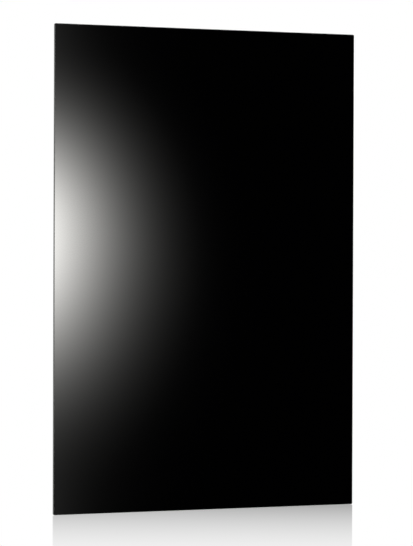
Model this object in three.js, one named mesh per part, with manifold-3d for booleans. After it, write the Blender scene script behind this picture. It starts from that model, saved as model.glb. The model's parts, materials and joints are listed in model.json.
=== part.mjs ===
// Wall-hung infrared panel heater: a frameless black glass plate with its heating laminate, insulation,
// pressed steel back, junction box, hook-on wall rails and two swinging lift-off locks.
// Units are millimetres and +Z is up. The wall is the plane y = 0 and the room is on the -Y side.
// The origin is the middle of the upper wall rail's back face.

import * as THREE from "three";
import { mergeVertices } from "three/addons/utils/BufferGeometryUtils.js";
import Module from "manifold-3d";

const wasm = await Module();
wasm.setup();

// ---------------------------------------------------------------------------------------------
// Driving dimensions
// ---------------------------------------------------------------------------------------------

const SEAT = 0.3; // gap left between pieces that touch
const PLAY = 0.5; // sliding clearance of the hooks
const OVERRUN = 1; // how far a cutter runs past what it cuts, or a boss into what it joins

const GLASS = { width: 600, height: 900, thickness: 6, corner: 2.5, arris: 0.7 };
const BEAD = { width: 10, thickness: 2 }; // silicone between the tray's flange and the glass
const TRAY = { inset: 18, flange: 12, depth: 18, sheet: 0.8, corner: 9, pressRadius: 1.5 };
const WALL_GAP = 22; // from the wall to the tray's back
const RIB = { count: 6, pitch: 76, width: 18, raise: 2, endGap: 46, chamfer: 0.9 };

const LAMINATE_MARGIN = 5; // from the tray's inner wall to the films, foil and mat
const FILM = 0.6;
const FOIL = 0.4;
const LEAD_SPACE = 5.2; // behind the mat, for the internal leads
const CONDUCTOR = { thickness: 0.5, band: 9, runs: 18, bend: 3, edge: 12, gapAtFeed: 18, returnGap: 36 };
const WINDOW = { width: 78, height: 58, corner: 6, rise: 10 }; // opening for the feed, above the tray's edge

const RAIL = { length: 420, sheet: 2, web: 36, lip: 12, reach: 12.5, bend: 1.2 };
const CLEAT = { length: 400, hookPlay: 1.2 };
const RAIL_FROM_TOP = 140; // from the glass's top edge to the upper rail's middle
const RAIL_FROM_BOTTOM = 200; // from the glass's bottom edge to the lower rail's middle
const WALL_SLOT = { width: 6, length: 14, x: [75, 150] };
const RIVET = { shank: 2.1, head: 4.2, headHeight: 1.3, tail: 3, tailLength: 1.6, x: [50, 120] };

const LOCK = { x: 184, shelfPlay: 0.5, arm: 42, armWidth: 9, hub: 5.5, sheet: 2, tab: 9, notchPlay: 2.5 };
const LOCK_PIN = { shoulder: 4, shank: 2.5, head: 4.5, headHeight: 1.4, wallPlay: 3.6, running: 0.1 };
const LOCK_WASHER = { radius: 5, thickness: 0.8 };

const BUMPER = {
  radius: 12, tip: 9.5, fromTraySide: 56, fromTrayEdge: 30,
  stem: 3, bulb: 4.4, bulbLength: 2.4, base: 4, round: 2,
};

const BOX = {
  width: 100, height: 64, wall: 2, corner: 5, lid: 2.2, lidChamfer: 0.8, fromTrayEdge: 40, wallPlay: 3.2,
};
const BOSS = { radius: 3.6, inset: 6 };
const LID_SCREW = { shank: 1.2, head: 2.6, headHeight: 1.3, length: 9 };
const BOX_SCREW = { shank: 1.6, head: 3.4, headHeight: 1.8, length: 5.2, fromSide: 14, fromTop: 12 };
const GROMMET = { bore: 4.4, neck: 6, flange: 8, flangeThickness: 1.2, fromTop: 13, holePlay: 0.5 };
const BLOCK = {
  poles: 3, pitch: 10, height: 16, depth: 11, corner: 1.5, z: -4,
  wireHole: 1.7, wireRise: 4, well: 2.9, wellDepth: 7,
};
const SEPARATOR = { width: 1.2, depth: 2.5 }; // groove between two poles
const BLOCK_SCREW = { radius: 2.3, height: 5, slot: 0.8, slotDepth: 1.2 };
const EARTH = {
  fromSide: 14, drop: 14, stud: 2, studLength: 11, nut: 3.9, nutHeight: 3,
  ring: 4.2, ringSheet: 1, chamfer: 0.6, barrelPlay: 1, barrelWidth: 4, barrelHeight: 2.6, barrelLength: 6,
};

const GLAND = {
  bore: 3.4, thread: 5.7, nutWall: 1.6, hexHeight: 4, stub: 8, sealInset: 0.8,
  capWall: 1.3, capLength: 15, capFloor: 2, capRound: 1.4, capTaper: 0.9, capShoulder: 0.4,
  capLap: 0.5, nutHeight: 3.5, threadPast: 1, rimWall: 1.2,
};

const LEAD = { radius: 1.2, sides: 6, stepsPerPoint: 3, pairHalf: 1.8 };
const TAB = { length: 11, width: 7, sheet: 0.5, x: 13 };
const LIMITER = {
  x: -120, z: [-60, 170], radius: 8, flange: 10, flangeRise: 2, flangeHeight: 1.4, body: 6.8,
  recess: 2.5, pocketPlay: 3, blade: 0.8, bladeWidth: 4.8, bladeX: 4,
};

// ---------------------------------------------------------------------------------------------
// Places worked out from the driving dimensions. Depths run from the wall (y = 0) to the room.
// ---------------------------------------------------------------------------------------------

const trayBackY = -WALL_GAP;
const trayInnerY = trayBackY - TRAY.sheet;
const flangeFrontY = trayBackY - TRAY.depth;
const beadFrontY = flangeFrontY - SEAT - BEAD.thickness;
const glassBackY = beadFrontY - SEAT;

const flangeWidth = GLASS.width - 2 * TRAY.inset;
const flangeHeight = GLASS.height - 2 * TRAY.inset;
const trayWidth = flangeWidth - 2 * TRAY.flange;
const trayHeight = flangeHeight - 2 * TRAY.flange;
const layerWidth = trayWidth - 2 * (TRAY.sheet + LAMINATE_MARGIN);
const layerHeight = trayHeight - 2 * (TRAY.sheet + LAMINATE_MARGIN);

// Back faces of the layers, from the glass to the mat.
const frontFilmY = glassBackY + SEAT + FILM;
const conductorY = frontFilmY + SEAT + CONDUCTOR.thickness;
const rearFilmY = conductorY + SEAT + FILM;
const foilY = rearFilmY + SEAT + FOIL;
const matFrontY = foilY + SEAT;
const matY = trayInnerY - LEAD_SPACE;
const matThickness = matY - matFrontY;
const leadY = matY + SEAT + LEAD.radius;
const limiterTopY = matY - LIMITER.recess;

// Heights in the panel's own frame, whose origin is the middle of the glass.
const upperRailZ = GLASS.height / 2 - RAIL_FROM_TOP;
const lowerRailZ = RAIL_FROM_BOTTOM - GLASS.height / 2;
const trayBottomZ = -trayHeight / 2;
const boxZ = trayBottomZ + BOX.fromTrayEdge;
const boxScrewX = BOX.width / 2 - BOX_SCREW.fromSide; // this and the next two are from the box's middle
const boxScrewRise = BOX.height / 2 - BOX_SCREW.fromTop;
const grommetRise = BOX.height / 2 - GROMMET.fromTop;
const bumperX = trayWidth / 2 - BUMPER.fromTraySide;
const bumperZ = trayBottomZ + BUMPER.fromTrayEdge;
const windowZ = trayBottomZ + WINDOW.rise + WINDOW.height / 2;

// Hook section, in a rail's own frame: z = 0 is the middle of the web.
const shelfTopZ = RAIL.web / 2;
const lipTopZ = shelfTopZ + RAIL.lip;
const cleatHookY = -(RAIL.reach - RAIL.sheet - PLAY - RAIL.sheet / 2);
const cleatBaseY = trayBackY + SEAT; // face of the cleat that lies on the tray
const cleatBackY = cleatBaseY + RAIL.sheet;

// ---------------------------------------------------------------------------------------------
// Finishes
// ---------------------------------------------------------------------------------------------

const FINISH = {
  blackGlass: { color: 0x020203, roughness: 0.04, metalness: 0 },
  silicone: { color: 0x17181a, roughness: 0.6, metalness: 0 },
  clearFilm: { color: 0xb98a3c, roughness: 0.45, metalness: 0 },
  resistanceAlloy: { color: 0x6f6258, roughness: 0.45, metalness: 1 },
  foil: { color: 0xd7dadc, roughness: 0.2, metalness: 1 },
  mineralWool: { color: 0xc9c2a6, roughness: 0.95, metalness: 0 },
  coatedSteel: { color: 0x2b2d30, roughness: 0.55, metalness: 0 },
  zincPlate: { color: 0xb4b8ba, roughness: 0.35, metalness: 1 },
  screwSteel: { color: 0xa8abae, roughness: 0.3, metalness: 1 },
  rubber: { color: 0x141414, roughness: 0.8, metalness: 0 },
  boxPlastic: { color: 0x1f2022, roughness: 0.5, metalness: 0 },
  glandPlastic: { color: 0x191a1b, roughness: 0.42, metalness: 0 },
  blockPlastic: { color: 0xe6e2d6, roughness: 0.5, metalness: 0 },
  brass: { color: 0xc7a45a, roughness: 0.3, metalness: 1 },
  limiterPlastic: { color: 0x2a1d16, roughness: 0.5, metalness: 0 },
  leadBrown: { color: 0x5a3720, roughness: 0.5, metalness: 0 },
  leadBlue: { color: 0x2b5f9e, roughness: 0.5, metalness: 0 },
  leadEarth: { color: 0x7fa331, roughness: 0.5, metalness: 0 },
  nylon: { color: 0xe9e8e2, roughness: 0.4, metalness: 0 },
};

function piece(name, geometry, finish) {
  const mesh = new THREE.Mesh(geometry, new THREE.MeshStandardMaterial(finish));
  mesh.name = name;
  return mesh;
}

function group(...children) {
  const made = new THREE.Group();
  if (children.length) made.add(...children);
  return made;
}

// ---------------------------------------------------------------------------------------------
// Solids: joining and cutting
// ---------------------------------------------------------------------------------------------

function solidOf(geometry) {
  const bare = geometry.index ? geometry.toNonIndexed() : geometry.clone();
  bare.deleteAttribute("normal");
  bare.deleteAttribute("uv");
  const merged = mergeVertices(bare, 1e-4);
  return new wasm.Manifold(
    new wasm.Mesh({
      numProp: 3,
      vertProperties: merged.attributes.position.array,
      triVerts: new Uint32Array(merged.index.array),
    }),
  );
}

function geometryOf(solid) {
  const mesh = solid.getMesh();
  const geometry = new THREE.BufferGeometry();
  geometry.setAttribute("position", new THREE.BufferAttribute(mesh.vertProperties, 3));
  geometry.setIndex(new THREE.BufferAttribute(mesh.triVerts, 1));
  const faceted = geometry.toNonIndexed();
  faceted.computeVertexNormals();
  return faceted;
}

// The base with some solids joined to it and others then cut away.
function carve(base, { join = [], cut = [] }) {
  let solid = solidOf(base);
  for (const geometry of join) solid = solid.add(solidOf(geometry));
  for (const geometry of cut) solid = solid.subtract(solidOf(geometry));
  return geometryOf(solid);
}

// ---------------------------------------------------------------------------------------------
// Outlines and basic solids
// ---------------------------------------------------------------------------------------------

function roundedRectangle(width, height, radius) {
  const w = width / 2;
  const h = height / 2;
  const r = Math.min(radius, w, h);
  const shape = new THREE.Shape();
  shape.moveTo(-w + r, -h);
  shape.lineTo(w - r, -h);
  shape.absarc(w - r, -h + r, r, -Math.PI / 2, 0);
  shape.lineTo(w, h - r);
  shape.absarc(w - r, h - r, r, 0, Math.PI / 2);
  shape.lineTo(-w + r, h);
  shape.absarc(-w + r, h - r, r, Math.PI / 2, Math.PI);
  shape.lineTo(-w, -h + r);
  shape.absarc(-w + r, -h + r, r, Math.PI, 1.5 * Math.PI);
  return shape;
}

function turnedBy(direction, angle) {
  return direction.clone().rotateAround(new THREE.Vector2(), angle);
}

// A strip of even width along a polyline whose corners are rounded: a folded sheet or a meander.
function ribbon(corners, width, bendRadius, bendSteps = 3) {
  const points = corners.map(([x, y]) => new THREE.Vector2(x, y));
  const left = [];
  const right = [];
  const put = (point, direction) => {
    const side = new THREE.Vector2(-direction.y, direction.x).multiplyScalar(width / 2);
    left.push(point.clone().add(side));
    right.push(point.clone().sub(side));
  };
  const heading = (from, to) => to.clone().sub(from).normalize();
  put(points[0], heading(points[0], points[1]));
  for (let i = 1; i < points.length - 1; i += 1) {
    const before = heading(points[i - 1], points[i]);
    const after = heading(points[i], points[i + 1]);
    const turn = Math.atan2(before.cross(after), before.dot(after));
    const radius = bendRadius + width / 2;
    const start = points[i].clone().addScaledVector(before, -radius * Math.tan(Math.abs(turn) / 2));
    const inward = new THREE.Vector2(-before.y, before.x).multiplyScalar(Math.sign(turn));
    const centre = start.clone().addScaledVector(inward, radius);
    for (let step = 0; step <= bendSteps; step += 1) {
      const angle = (turn * step) / bendSteps;
      const spoke = turnedBy(inward, angle);
      put(centre.clone().addScaledVector(spoke, -radius), turnedBy(before, angle));
    }
  }
  put(points.at(-1), heading(points.at(-2), points.at(-1)));
  return new THREE.Shape([...left, ...right.reverse()]);
}

// An upright plate: the outline is drawn in X and Z, and it reaches from y = backY towards the room.
function plate(outline, thickness, backY, { arris = 0, arcSteps = 2 } = {}) {
  const geometry = new THREE.ExtrudeGeometry(outline, {
    depth: thickness - 2 * arris,
    curveSegments: arcSteps,
    bevelEnabled: arris > 0,
    bevelThickness: arris,
    bevelSize: arris,
    bevelOffset: -arris,
    bevelSegments: 1,
  });
  return geometry.rotateX(Math.PI / 2).translate(0, backY - arris, 0);
}

// A profile drawn in Y and Z, extruded along X and centred on x = 0.
function alongX(outline, length) {
  const geometry = new THREE.ExtrudeGeometry(outline, {
    depth: length,
    bevelEnabled: false,
  });
  const turn = new THREE.Matrix4().makeBasis(
    new THREE.Vector3(0, 1, 0),
    new THREE.Vector3(0, 0, 1),
    new THREE.Vector3(1, 0, 0),
  );
  return geometry.applyMatrix4(turn).translate(-length / 2, 0, 0);
}

// A block between two opposite corners.
function block([x0, y0, z0], [x1, y1, z1]) {
  const geometry = new THREE.BoxGeometry(Math.abs(x1 - x0), Math.abs(y1 - y0), Math.abs(z1 - z0));
  return geometry.translate((x0 + x1) / 2, (y0 + y1) / 2, (z0 + z1) / 2);
}

// A solid of revolution about Y: [radius, y] pairs from the lowest y to the highest, then closed.
function turned(profile, segments = 16) {
  return new THREE.LatheGeometry(profile.map(([r, y]) => new THREE.Vector2(r, y)), segments);
}

// The same about Z: [radius, z] pairs.
function turnedUpright(profile, segments = 16) {
  return turned(profile, segments).rotateX(Math.PI / 2);
}

// A straight round cutter or pin along Y between two depths.
function rod(radius, fromY, toY, segments = 16) {
  return turned([[0, fromY], [radius, fromY], [radius, toY], [0, toY]], segments);
}

// The same along Z between two heights.
function column(radius, fromZ, toZ, segments = 16) {
  return turnedUpright([[0, fromZ], [radius, fromZ], [radius, toZ], [0, toZ]], segments);
}

// An insulated lead along a smooth route.
function lead(route) {
  const points = route.map((point) => new THREE.Vector3(...point));
  const curve = new THREE.CatmullRomCurve3(points, false, "centripetal");
  const section = new THREE.Shape();
  for (let i = 0; i < LEAD.sides; i += 1) {
    const angle = (2 * Math.PI * i) / LEAD.sides;
    const x = LEAD.radius * Math.cos(angle);
    const y = LEAD.radius * Math.sin(angle);
    if (i === 0) section.moveTo(x, y);
    else section.lineTo(x, y);
  }
  const steps = LEAD.stepsPerPoint * route.length;
  return new THREE.ExtrudeGeometry(section, { steps, bevelEnabled: false, extrudePath: curve });
}

// A screw or rivet along Y whose head's outer face looks towards the wall.
function headed({ shank, head, headHeight }, headSeatY, tipY) {
  return [
    [0, tipY],
    [0.6 * shank, tipY],
    [shank, tipY + 0.5 * shank],
    [shank, headSeatY],
    [head, headSeatY],
    [head, headSeatY + 0.45 * headHeight],
    [0.72 * head, headSeatY + headHeight],
    [0, headSeatY + headHeight],
  ];
}

// A cross recess cut into the head of a screw.
function crossHeaded(size, headSeatY, tipY) {
  const topY = headSeatY + size.headHeight;
  const reach = 0.55 * size.head;
  const half = 0.13 * size.head;
  const bottomY = topY - 0.6 * size.headHeight;
  return carve(turned(headed(size, headSeatY, tipY), 12), {
    cut: [
      block([-reach, bottomY, -half], [reach, topY + OVERRUN, half]),
      block([-half, bottomY, -reach], [half, topY + OVERRUN, reach]),
    ],
  });
}

// ---------------------------------------------------------------------------------------------
// Glass and heating laminate
// ---------------------------------------------------------------------------------------------

function glassFront() {
  const outline = roundedRectangle(GLASS.width, GLASS.height, GLASS.corner);
  const geometry = plate(outline, GLASS.thickness, glassBackY, { arris: GLASS.arris, arcSteps: 3 });
  return piece("glass_front", geometry, FINISH.blackGlass);
}

function adhesiveBead() {
  const width = flangeWidth - TRAY.flange;
  const height = flangeHeight - TRAY.flange;
  const outline = roundedRectangle(width + BEAD.width, height + BEAD.width, TRAY.corner + BEAD.width);
  outline.holes.push(roundedRectangle(width - BEAD.width, height - BEAD.width, TRAY.corner));
  return piece("adhesive_bead", plate(outline, BEAD.thickness, beadFrontY + BEAD.thickness), FINISH.silicone);
}

function layerOutline() {
  return roundedRectangle(layerWidth, layerHeight, TRAY.corner);
}

function windowOutline() {
  return roundedRectangle(WINDOW.width, WINDOW.height, WINDOW.corner);
}

// A sheet of the laminate with the feed window in it.
function windowedLayer(thickness, backY, extraCuts = []) {
  const cutter = plate(windowOutline(), thickness + 2 * OVERRUN, backY + OVERRUN).translate(0, 0, windowZ);
  return carve(plate(layerOutline(), thickness, backY), { cut: [cutter, ...extraCuts] });
}

// Meander of vertical runs, whose two ends come back along the lower edge to the feed.
function heatingConductor() {
  const halfWidth = layerWidth / 2 - CONDUCTOR.edge;
  const topZ = layerHeight / 2 - CONDUCTOR.edge;
  const feedZ = -topZ;
  const pitch = (2 * halfWidth) / (CONDUCTOR.runs - 1);
  const corners = [[-CONDUCTOR.gapAtFeed / 2, feedZ]];
  for (let run = 0; run < CONDUCTOR.runs; run += 1) {
    const x = -halfWidth + run * pitch;
    const outermost = run === 0 || run === CONDUCTOR.runs - 1;
    const lowZ = outermost ? feedZ : feedZ + CONDUCTOR.returnGap;
    const ends = [[x, lowZ], [x, topZ]];
    corners.push(...(run % 2 ? ends.reverse() : ends));
  }
  corners.push([CONDUCTOR.gapAtFeed / 2, feedZ]);
  const outline = ribbon(corners, CONDUCTOR.band, CONDUCTOR.bend);
  return piece("heating_conductor", plate(outline, CONDUCTOR.thickness, conductorY), FINISH.resistanceAlloy);
}

function insulationMat() {
  const pockets = LIMITER.z.map((z) =>
    rod(LIMITER.flange + LIMITER.pocketPlay, matFrontY - OVERRUN, matY + OVERRUN).translate(LIMITER.x, 0, z),
  );
  return piece("insulation_mat", windowedLayer(matThickness, matY, pockets), FINISH.mineralWool);
}

function laminate() {
  return group(
    piece("front_insulating_film", plate(layerOutline(), FILM, frontFilmY), FINISH.clearFilm),
    heatingConductor(),
    piece("rear_insulating_film", windowedLayer(FILM, rearFilmY), FINISH.clearFilm),
    piece("reflector_foil", windowedLayer(FOIL, foilY), FINISH.foil),
    insulationMat(),
  );
}

// ---------------------------------------------------------------------------------------------
// Pressed steel tray
// ---------------------------------------------------------------------------------------------

function ribX(index) {
  return (index - (RIB.count - 1) / 2) * RIB.pitch;
}

const ribTopZ = upperRailZ - RAIL.web / 2 - RIB.endGap;
const ribBottomZ = lowerRailZ + lipTopZ + RIB.endGap;

function ribs(width, backY) {
  const outline = roundedRectangle(width, ribTopZ - ribBottomZ + width, width / 2);
  const middleZ = (ribTopZ + ribBottomZ) / 2;
  return Array.from({ length: RIB.count }, (_, index) =>
    plate(outline, RIB.raise + OVERRUN, backY, { arris: RIB.chamfer }).translate(ribX(index), 0, middleZ),
  );
}

// A round hole through the tray's back at each [x, z] place.
function trayHoles(radius, places, segments) {
  const [fromY, toY] = [trayInnerY - RIB.raise, trayBackY + RIB.raise];
  return places.map(([x, z]) => rod(radius + SEAT, fromY, toY, segments).translate(x, 0, z));
}

function bothSides(x, z) {
  return [[-x, z], [x, z]];
}

function rearTray() {
  const outline = roundedRectangle(trayWidth, trayHeight, TRAY.corner);
  const body = plate(outline, TRAY.depth, trayBackY, { arris: TRAY.pressRadius });
  const frontHalf = plate(outline, TRAY.depth / 2, flangeFrontY + TRAY.depth / 2);
  const flange = plate(
    roundedRectangle(flangeWidth, flangeHeight, TRAY.corner + TRAY.flange),
    TRAY.sheet,
    flangeFrontY + TRAY.sheet,
  );
  const hollow = plate(
    roundedRectangle(trayWidth - 2 * TRAY.sheet, trayHeight - 2 * TRAY.sheet, TRAY.corner - TRAY.sheet),
    TRAY.depth + OVERRUN,
    trayInnerY,
    { arris: TRAY.pressRadius - TRAY.sheet / 2 },
  );
  const geometry = carve(body, {
    join: [frontHalf, flange, ...ribs(RIB.width, trayBackY + RIB.raise)],
    cut: [
      hollow,
      ...ribs(RIB.width - 2 * TRAY.sheet, trayInnerY + RIB.raise),
      ...trayHoles(RIVET.shank, rivetPlaces(), 10),
      ...trayHoles(BUMPER.stem, bothSides(bumperX, bumperZ)),
      ...trayHoles(BOX_SCREW.shank, bothSides(boxScrewX, boxZ + boxScrewRise), 12),
      ...trayHoles(GROMMET.neck, [[0, boxZ + grommetRise]]),
    ],
  });
  return piece("rear_tray", geometry, FINISH.coatedSteel);
}

// ---------------------------------------------------------------------------------------------
// Hooks: cleats on the tray, rails on the wall
// ---------------------------------------------------------------------------------------------

// Centre line of the wall rail: up the wall, forward over the shelf, up the lip.
function railSection() {
  const half = RAIL.sheet / 2;
  return ribbon(
    [
      [-half, -RAIL.web / 2],
      [-half, shelfTopZ - half],
      [-RAIL.reach + half, shelfTopZ - half],
      [-RAIL.reach + half, lipTopZ],
    ],
    RAIL.sheet,
    RAIL.bend,
  );
}

// Centre line of the cleat: up the tray, back over the rail's lip, down behind it.
function cleatSection() {
  const half = RAIL.sheet / 2;
  return ribbon(
    [
      [cleatBaseY + half, -RAIL.web / 2],
      [cleatBaseY + half, lipTopZ + SEAT + half],
      [cleatHookY, lipTopZ + SEAT + half],
      [cleatHookY, shelfTopZ + CLEAT.hookPlay],
    ],
    RAIL.sheet,
    RAIL.bend,
  );
}

function wallSlots() {
  const outline = roundedRectangle(WALL_SLOT.length, WALL_SLOT.width, WALL_SLOT.width / 2);
  return WALL_SLOT.x.flatMap((x) =>
    [-x, x].map((place) => plate(outline, RAIL.sheet + 2 * OVERRUN, OVERRUN).translate(place, 0, 0)),
  );
}

// The swung arm lies just under the shelf. The height is in the lower rail's frame.
const lockPivotZ = shelfTopZ - RAIL.sheet - LOCK.shelfPlay - LOCK.armWidth / 2;

// Gaps in the shelf and lip through which the lock pins pass when the panel is lifted off.
function lockNotches() {
  const half = LOCK.hub + LOCK.notchPlay;
  const floorZ = shelfTopZ - RAIL.sheet - OVERRUN;
  return [-1, 1].map((side) =>
    block(
      [side * LOCK.x - half, -RAIL.reach - OVERRUN, floorZ],
      [side * LOCK.x + half, -RAIL.sheet - RAIL.bend, lipTopZ + OVERRUN],
    ),
  );
}

function wallRails() {
  const upper = carve(alongX(railSection(), RAIL.length), { cut: wallSlots() });
  const lower = carve(alongX(railSection(), RAIL.length), { cut: [...wallSlots(), ...lockNotches()] });
  const upperRail = piece("upper_wall_rail", upper, FINISH.zincPlate);
  const lowerRail = piece("lower_wall_rail", lower, FINISH.zincPlate);
  upperRail.position.z = upperRailZ;
  lowerRail.position.z = lowerRailZ;
  return group(upperRail, lowerRail);
}

function rivetXs() {
  return RIVET.x.flatMap((x) => [-x, x]).sort((a, b) => a - b);
}

function rivetPlaces() {
  return [upperRailZ, lowerRailZ].flatMap((z) => rivetXs().map((x) => [x, z]));
}

function cleats() {
  const rivetHoles = rivetXs().map((x) =>
    rod(RIVET.shank + SEAT, cleatBaseY - OVERRUN, cleatBackY + OVERRUN, 10).translate(x, 0, 0),
  );
  const pinHoles = [-1, 1].map((side) =>
    rod(LOCK_PIN.shank + SEAT, cleatBaseY - OVERRUN, cleatBackY + OVERRUN)
      .translate(side * LOCK.x, 0, lockPivotZ),
  );
  const upper = carve(alongX(cleatSection(), CLEAT.length), { cut: rivetHoles });
  const lower = carve(alongX(cleatSection(), CLEAT.length), { cut: [...rivetHoles, ...pinHoles] });
  const upperCleat = piece("upper_cleat", upper, FINISH.zincPlate);
  const lowerCleat = piece("lower_cleat", lower, FINISH.zincPlate);
  upperCleat.position.z = upperRailZ;
  lowerCleat.position.z = lowerRailZ;
  return group(upperCleat, lowerCleat);
}

function rivets() {
  const headSeatY = cleatBackY + SEAT;
  const tailY = trayInnerY - SEAT;
  const profile = [
    [0, tailY - RIVET.tailLength],
    [0.8 * RIVET.tail, tailY - RIVET.tailLength],
    [RIVET.tail, tailY],
    [RIVET.shank, tailY],
    [RIVET.shank, headSeatY],
    [RIVET.head, headSeatY],
    [0.8 * RIVET.head, headSeatY + 0.7 * RIVET.headHeight],
    [0.4 * RIVET.head, headSeatY + RIVET.headHeight],
    [0, headSeatY + RIVET.headHeight],
  ];
  return group(
    ...rivetPlaces().map(([x, z], index) => {
      const rivet = piece(`cleat_rivet_${index + 1}`, turned(profile, 10), FINISH.screwSteel);
      rivet.position.set(x, 0, z);
      return rivet;
    }),
  );
}

// ---------------------------------------------------------------------------------------------
// Lift-off locks: a lever on a shouldered pin, which swings in under the rail's shelf
// ---------------------------------------------------------------------------------------------

const pinHeadFaceY = -LOCK_PIN.wallPlay; // nearest to the wall
const pinHeadSeatY = pinHeadFaceY - LOCK_PIN.headHeight;
const leverBackY = pinHeadSeatY - SEAT;
const leverFrontY = leverBackY - LOCK.sheet;
const washerBackY = leverFrontY - SEAT;
const shoulderY = washerBackY - LOCK_WASHER.thickness - SEAT;

function lockPin() {
  return turned([
    [0, cleatBaseY],
    [LOCK_PIN.shank, cleatBaseY],
    [LOCK_PIN.shank, cleatBackY + SEAT],
    [LOCK_PIN.shoulder, cleatBackY + SEAT],
    [LOCK_PIN.shoulder, shoulderY],
    [LOCK_PIN.shank, shoulderY],
    [LOCK_PIN.shank, pinHeadSeatY],
    [LOCK_PIN.head, pinHeadSeatY],
    [LOCK_PIN.head, pinHeadFaceY - 0.4 * LOCK_PIN.headHeight],
    [0.8 * LOCK_PIN.head, pinHeadFaceY],
    [0, pinHeadFaceY],
  ]);
}

function lockWasher() {
  const bore = LOCK_PIN.shank + SEAT;
  const frontY = washerBackY - LOCK_WASHER.thickness;
  return turned([
    [bore, frontY],
    [LOCK_WASHER.radius, frontY],
    [LOCK_WASHER.radius, washerBackY],
    [bore, washerBackY],
    [bore, frontY],
  ]);
}

// The arm hangs down from its pivot, and its end is folded towards the room as a finger tab.
function lockLever() {
  const tabBend = LOCK.sheet / 2;
  const arm = alongX(
    ribbon(
      [
        [leverBackY - LOCK.sheet / 2, 0],
        [leverBackY - LOCK.sheet / 2, -LOCK.arm],
        [leverBackY - LOCK.sheet / 2 - LOCK.tab, -LOCK.arm],
      ],
      LOCK.sheet,
      tabBend,
    ),
    LOCK.armWidth,
  );
  const hub = rod(LOCK.hub, leverFrontY, leverBackY);
  const bore = rod(LOCK_PIN.shank + LOCK_PIN.running, leverFrontY - OVERRUN, leverBackY + OVERRUN);
  return carve(arm, { join: [hub], cut: [bore] });
}

function locks() {
  const made = group();
  for (const [side, word] of [[-1, "left"], [1, "right"]]) {
    const lock = group(
      piece(`lock_pin_${word}`, lockPin(), FINISH.screwSteel),
      piece(`lock_washer_${word}`, lockWasher(), FINISH.nylon),
      piece(`lock_lever_${word}`, lockLever(), FINISH.zincPlate),
    );
    lock.position.set(side * LOCK.x, 0, lowerRailZ + lockPivotZ);
    made.add(lock);
  }
  return made;
}

// ---------------------------------------------------------------------------------------------
// Rubber bumpers
// ---------------------------------------------------------------------------------------------

function bumpers() {
  const bulbY = trayInnerY - SEAT;
  const profile = [
    [0, bulbY - BUMPER.bulbLength],
    [0.45 * BUMPER.bulb, bulbY - BUMPER.bulbLength],
    [BUMPER.bulb, bulbY],
    [BUMPER.stem, bulbY],
    [BUMPER.stem, trayBackY + SEAT],
    [BUMPER.radius, trayBackY + SEAT],
    [BUMPER.radius, trayBackY + SEAT + BUMPER.base],
    [BUMPER.tip, -SEAT - BUMPER.round],
    [BUMPER.tip - 0.75 * BUMPER.round, -SEAT],
    [0, -SEAT],
  ];
  return group(
    ...[[-1, "left"], [1, "right"]].map(([side, word]) => {
      const bumper = piece(`wall_bumper_${word}`, turned(profile, 20), FINISH.rubber);
      bumper.position.set(side * bumperX, 0, bumperZ);
      return bumper;
    }),
  );
}

// ---------------------------------------------------------------------------------------------
// Junction box, lid and their screws. Heights here are from the middle of the box.
// ---------------------------------------------------------------------------------------------

const boxFloorY = trayBackY + SEAT; // face that lies on the tray
const boxInnerY = boxFloorY + BOX.wall;
const lidOuterY = -BOX.wallPlay;
const lidInnerY = lidOuterY - BOX.lid;
const boxRimY = lidInnerY - SEAT;
const boxDepth = boxRimY - boxFloorY;
const bossX = BOX.width / 2 - BOSS.inset;
const bossZ = BOX.height / 2 - BOSS.inset;
const ringBaseY = boxInnerY + SEAT; // the earth lead's ring lies on the box's floor
const earthX = BOX.width / 2 - EARTH.fromSide;
const earthZ = -EARTH.drop;
const boxBottomZ = -BOX.height / 2;
const glandY = boxRimY - GLAND.rimWall - GLAND.thread;

function fourCorners() {
  return [[-1, 1], [1, 1], [-1, -1], [1, -1]].map(([sx, sz]) => [sx * bossX, sz * bossZ]);
}

function junctionBox() {
  const shell = plate(roundedRectangle(BOX.width, BOX.height, BOX.corner), boxDepth, boxRimY);
  const hollow = plate(
    roundedRectangle(BOX.width - 2 * BOX.wall, BOX.height - 2 * BOX.wall, BOX.corner - BOX.wall),
    boxDepth, boxInnerY + boxDepth,
  );
  const outer = solidOf(shell).subtract(solidOf(hollow));
  const bosses = fourCorners().map(([x, z]) => rod(BOSS.radius, boxFloorY, boxRimY).translate(x, 0, z));
  const pilots = fourCorners().map(([x, z]) =>
    rod(LID_SCREW.shank + SEAT, boxInnerY + OVERRUN, boxRimY + OVERRUN, 12).translate(x, 0, z),
  );
  const through = [boxFloorY - OVERRUN, boxInnerY + OVERRUN];
  const screwHoles = [-1, 1].map((side) =>
    rod(BOX_SCREW.shank + SEAT, ...through, 12).translate(side * boxScrewX, 0, boxScrewRise),
  );
  const grommetHole = rod(GROMMET.flange + GROMMET.holePlay, ...through).translate(0, 0, grommetRise);
  const studHole = rod(EARTH.stud + SEAT, ...through).translate(earthX, 0, earthZ);
  const inletHole = column(GLAND.thread + SEAT, boxBottomZ - OVERRUN, boxBottomZ + BOX.wall + OVERRUN);
  inletHole.translate(0, glandY, 0);
  const geometry = carve(geometryOf(outer), {
    join: bosses,
    cut: [...pilots, ...screwHoles, grommetHole, studHole, inletHole],
  });
  return piece("junction_box", geometry, FINISH.boxPlastic);
}

function junctionBoxLid() {
  const outline = roundedRectangle(BOX.width, BOX.height, BOX.corner);
  const sheet = plate(outline, BOX.lid, lidOuterY, { arris: BOX.lidChamfer });
  const holes = fourCorners().map(([x, z]) =>
    rod(LID_SCREW.shank + SEAT, lidInnerY - OVERRUN, lidOuterY + OVERRUN, 12).translate(x, 0, z),
  );
  return piece("junction_box_lid", carve(sheet, { cut: holes }), FINISH.boxPlastic);
}

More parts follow.
